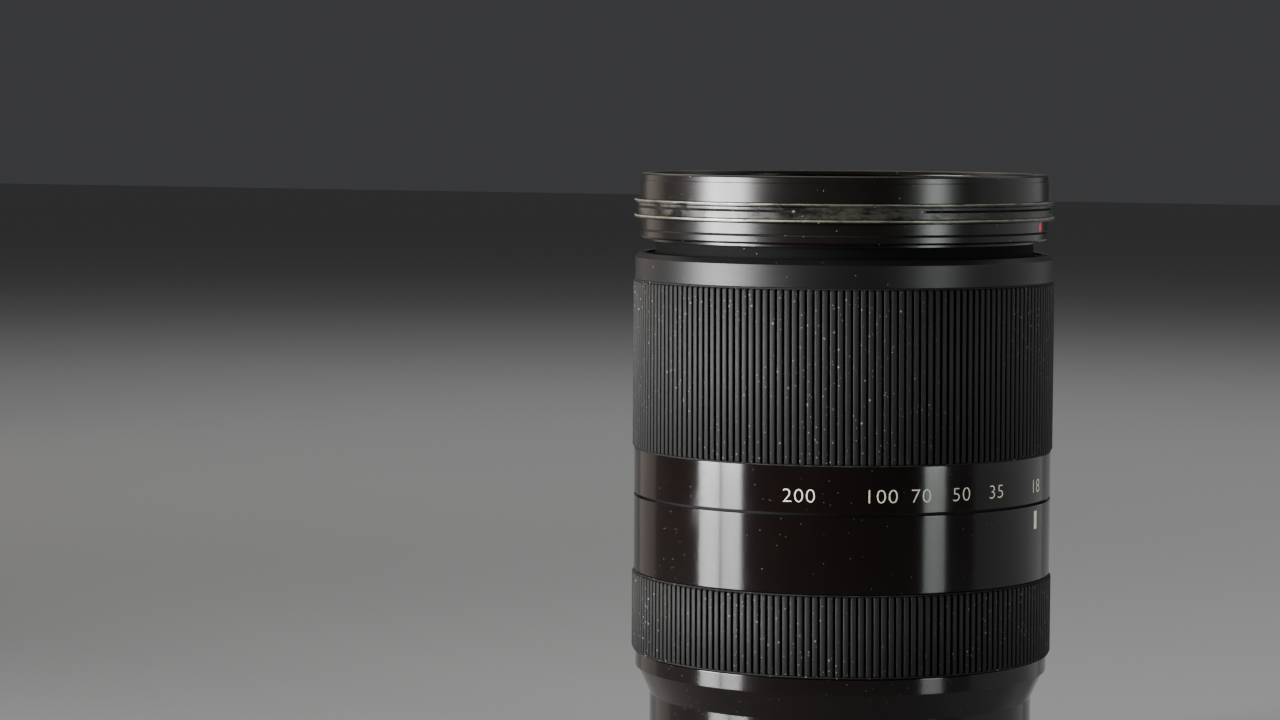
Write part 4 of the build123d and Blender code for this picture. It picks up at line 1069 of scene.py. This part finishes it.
coat = front_black.mix(cloud, (0.0022, 0.0015, 0.0013), (0.0062, 0.0052, 0.0046))
coat = front_black.mix(scraped * 0.42, coat, (0.052, 0.048, 0.038))
coat = front_black.mix(rubbed, coat, (0.17, 0.165, 0.13))
# Painted highlight: a lighter band along the top edge of the rim, standing in for the light caught there.
coat = front_black.mix(rim_highlight * 0.3, coat, (0.12, 0.115, 0.10))
# Painted shade: the seam groove and the hood track are coloured almost black, standing in for the shade
# inside them.
coat = front_black.mix(recess_shade, coat, (0.0004, 0.0004, 0.0004))
front_black.wear(
    Base_Color=front_black.mix(lint * 0.5, coat, (0.34, 0.33, 0.30)),
    Metallic=rubbed * 0.7,
    Roughness=0.19 + lines * 0.12 + scraped * 0.25 + rubbed * 0.15 + lint * 0.3 + recess_shade * 0.6,
    Normal=front_black.bump(lines * 0.6 + scraped * scuff * 0.8, 0.006 * mm),
)
dress(front_ring, front_black.material, "front", "front_black", "front_ring")


# Hood mark: a dot of red paint in a shallow round sink on the front ring. It shows where the
# hood is put on.
red_paint = paint("mark_red", (0.62, 0.045, 0.075))
finish_cad(red_paint, "hood_index_dot")


# Name ring: a black cone pressed in around the front glass, left blank here. Fine steps turned
# into it keep light from glancing into the lens.
name_low, name_high = height_of("name_ring")
name_outer = reach_of("name_ring")
name_inner = name_outer - 4.4 * mm
name_land = 0.7 * mm
name_step_count = 5
name_step_depth = 0.12 * mm
name_outline = [(name_inner, name_low), (name_outer, name_low), (name_outer, name_high)]
name_outline.append((name_outer - name_land, name_high))
slope_start = Vector((name_outer - name_land, name_high - 0.05 * mm))
slope_end = Vector((name_inner, name_low + 0.6 * mm))
plain_share = 0.55
name_outline.append(tuple(slope_start.lerp(slope_end, plain_share)))
for step in range(name_step_count):
    share = plain_share + (1 - plain_share) * (step + 0.3) / name_step_count
    point = slope_start.lerp(slope_end, share)
    name_outline.append((point.x, point.y - name_step_depth))
    share = plain_share + (1 - plain_share) * (step + 1) / name_step_count
    name_outline.append(tuple(slope_start.lerp(slope_end, share)))
name_ring = lathe("name_ring_cone", rounded(name_outline, 0.02 * mm))
name_black = satin_black("name_ring_black", (0.008, 0.008, 0.0085), 0.003 * mm, 0.45)
dress(name_ring, name_black, "front", "satin_black", "name_ring")


# Front group: two polished elements cemented together and held in a blackened cell by a
# screwed ring. A thin coating tints what they mirror.
glass_low = height_of("second_lens")[0]
glass_radius = reach_of("front_lens")
front_bulge = 3.6 * mm
glass_rim_high = height_of("front_lens")[1] - front_bulge
rear_bulge = 0.3 * mm
glass_steps = 40
glass_outline = []
for step in range(glass_steps + 1):
    share = step / glass_steps
    glass_outline.append((glass_radius * share, glass_low + rear_bulge * (1 - share * share)))
glass_outline.append((glass_radius, (glass_low + glass_rim_high) / 2))
for step in range(glass_steps + 1):
    share = 1 - step / glass_steps
    glass_outline.append((glass_radius * share, glass_rim_high + front_bulge * (1 - share * share)))
front_glass = lathe("front_glass_pair", glass_outline, closed=False, round_steps=192)
front_coating = coated_glass("front_glass", (0.96, 0.98, 0.97), 290.0)
dress(front_glass, front_coating, "front", "lens_glass", "front_lens", "second_lens")
finish_cad(cell_black, "front_cell")
retainer = satin_black("retainer_black", (0.013, 0.013, 0.014), 0.003 * mm, 0.3)
finish_cad(retainer, "front_retainer")
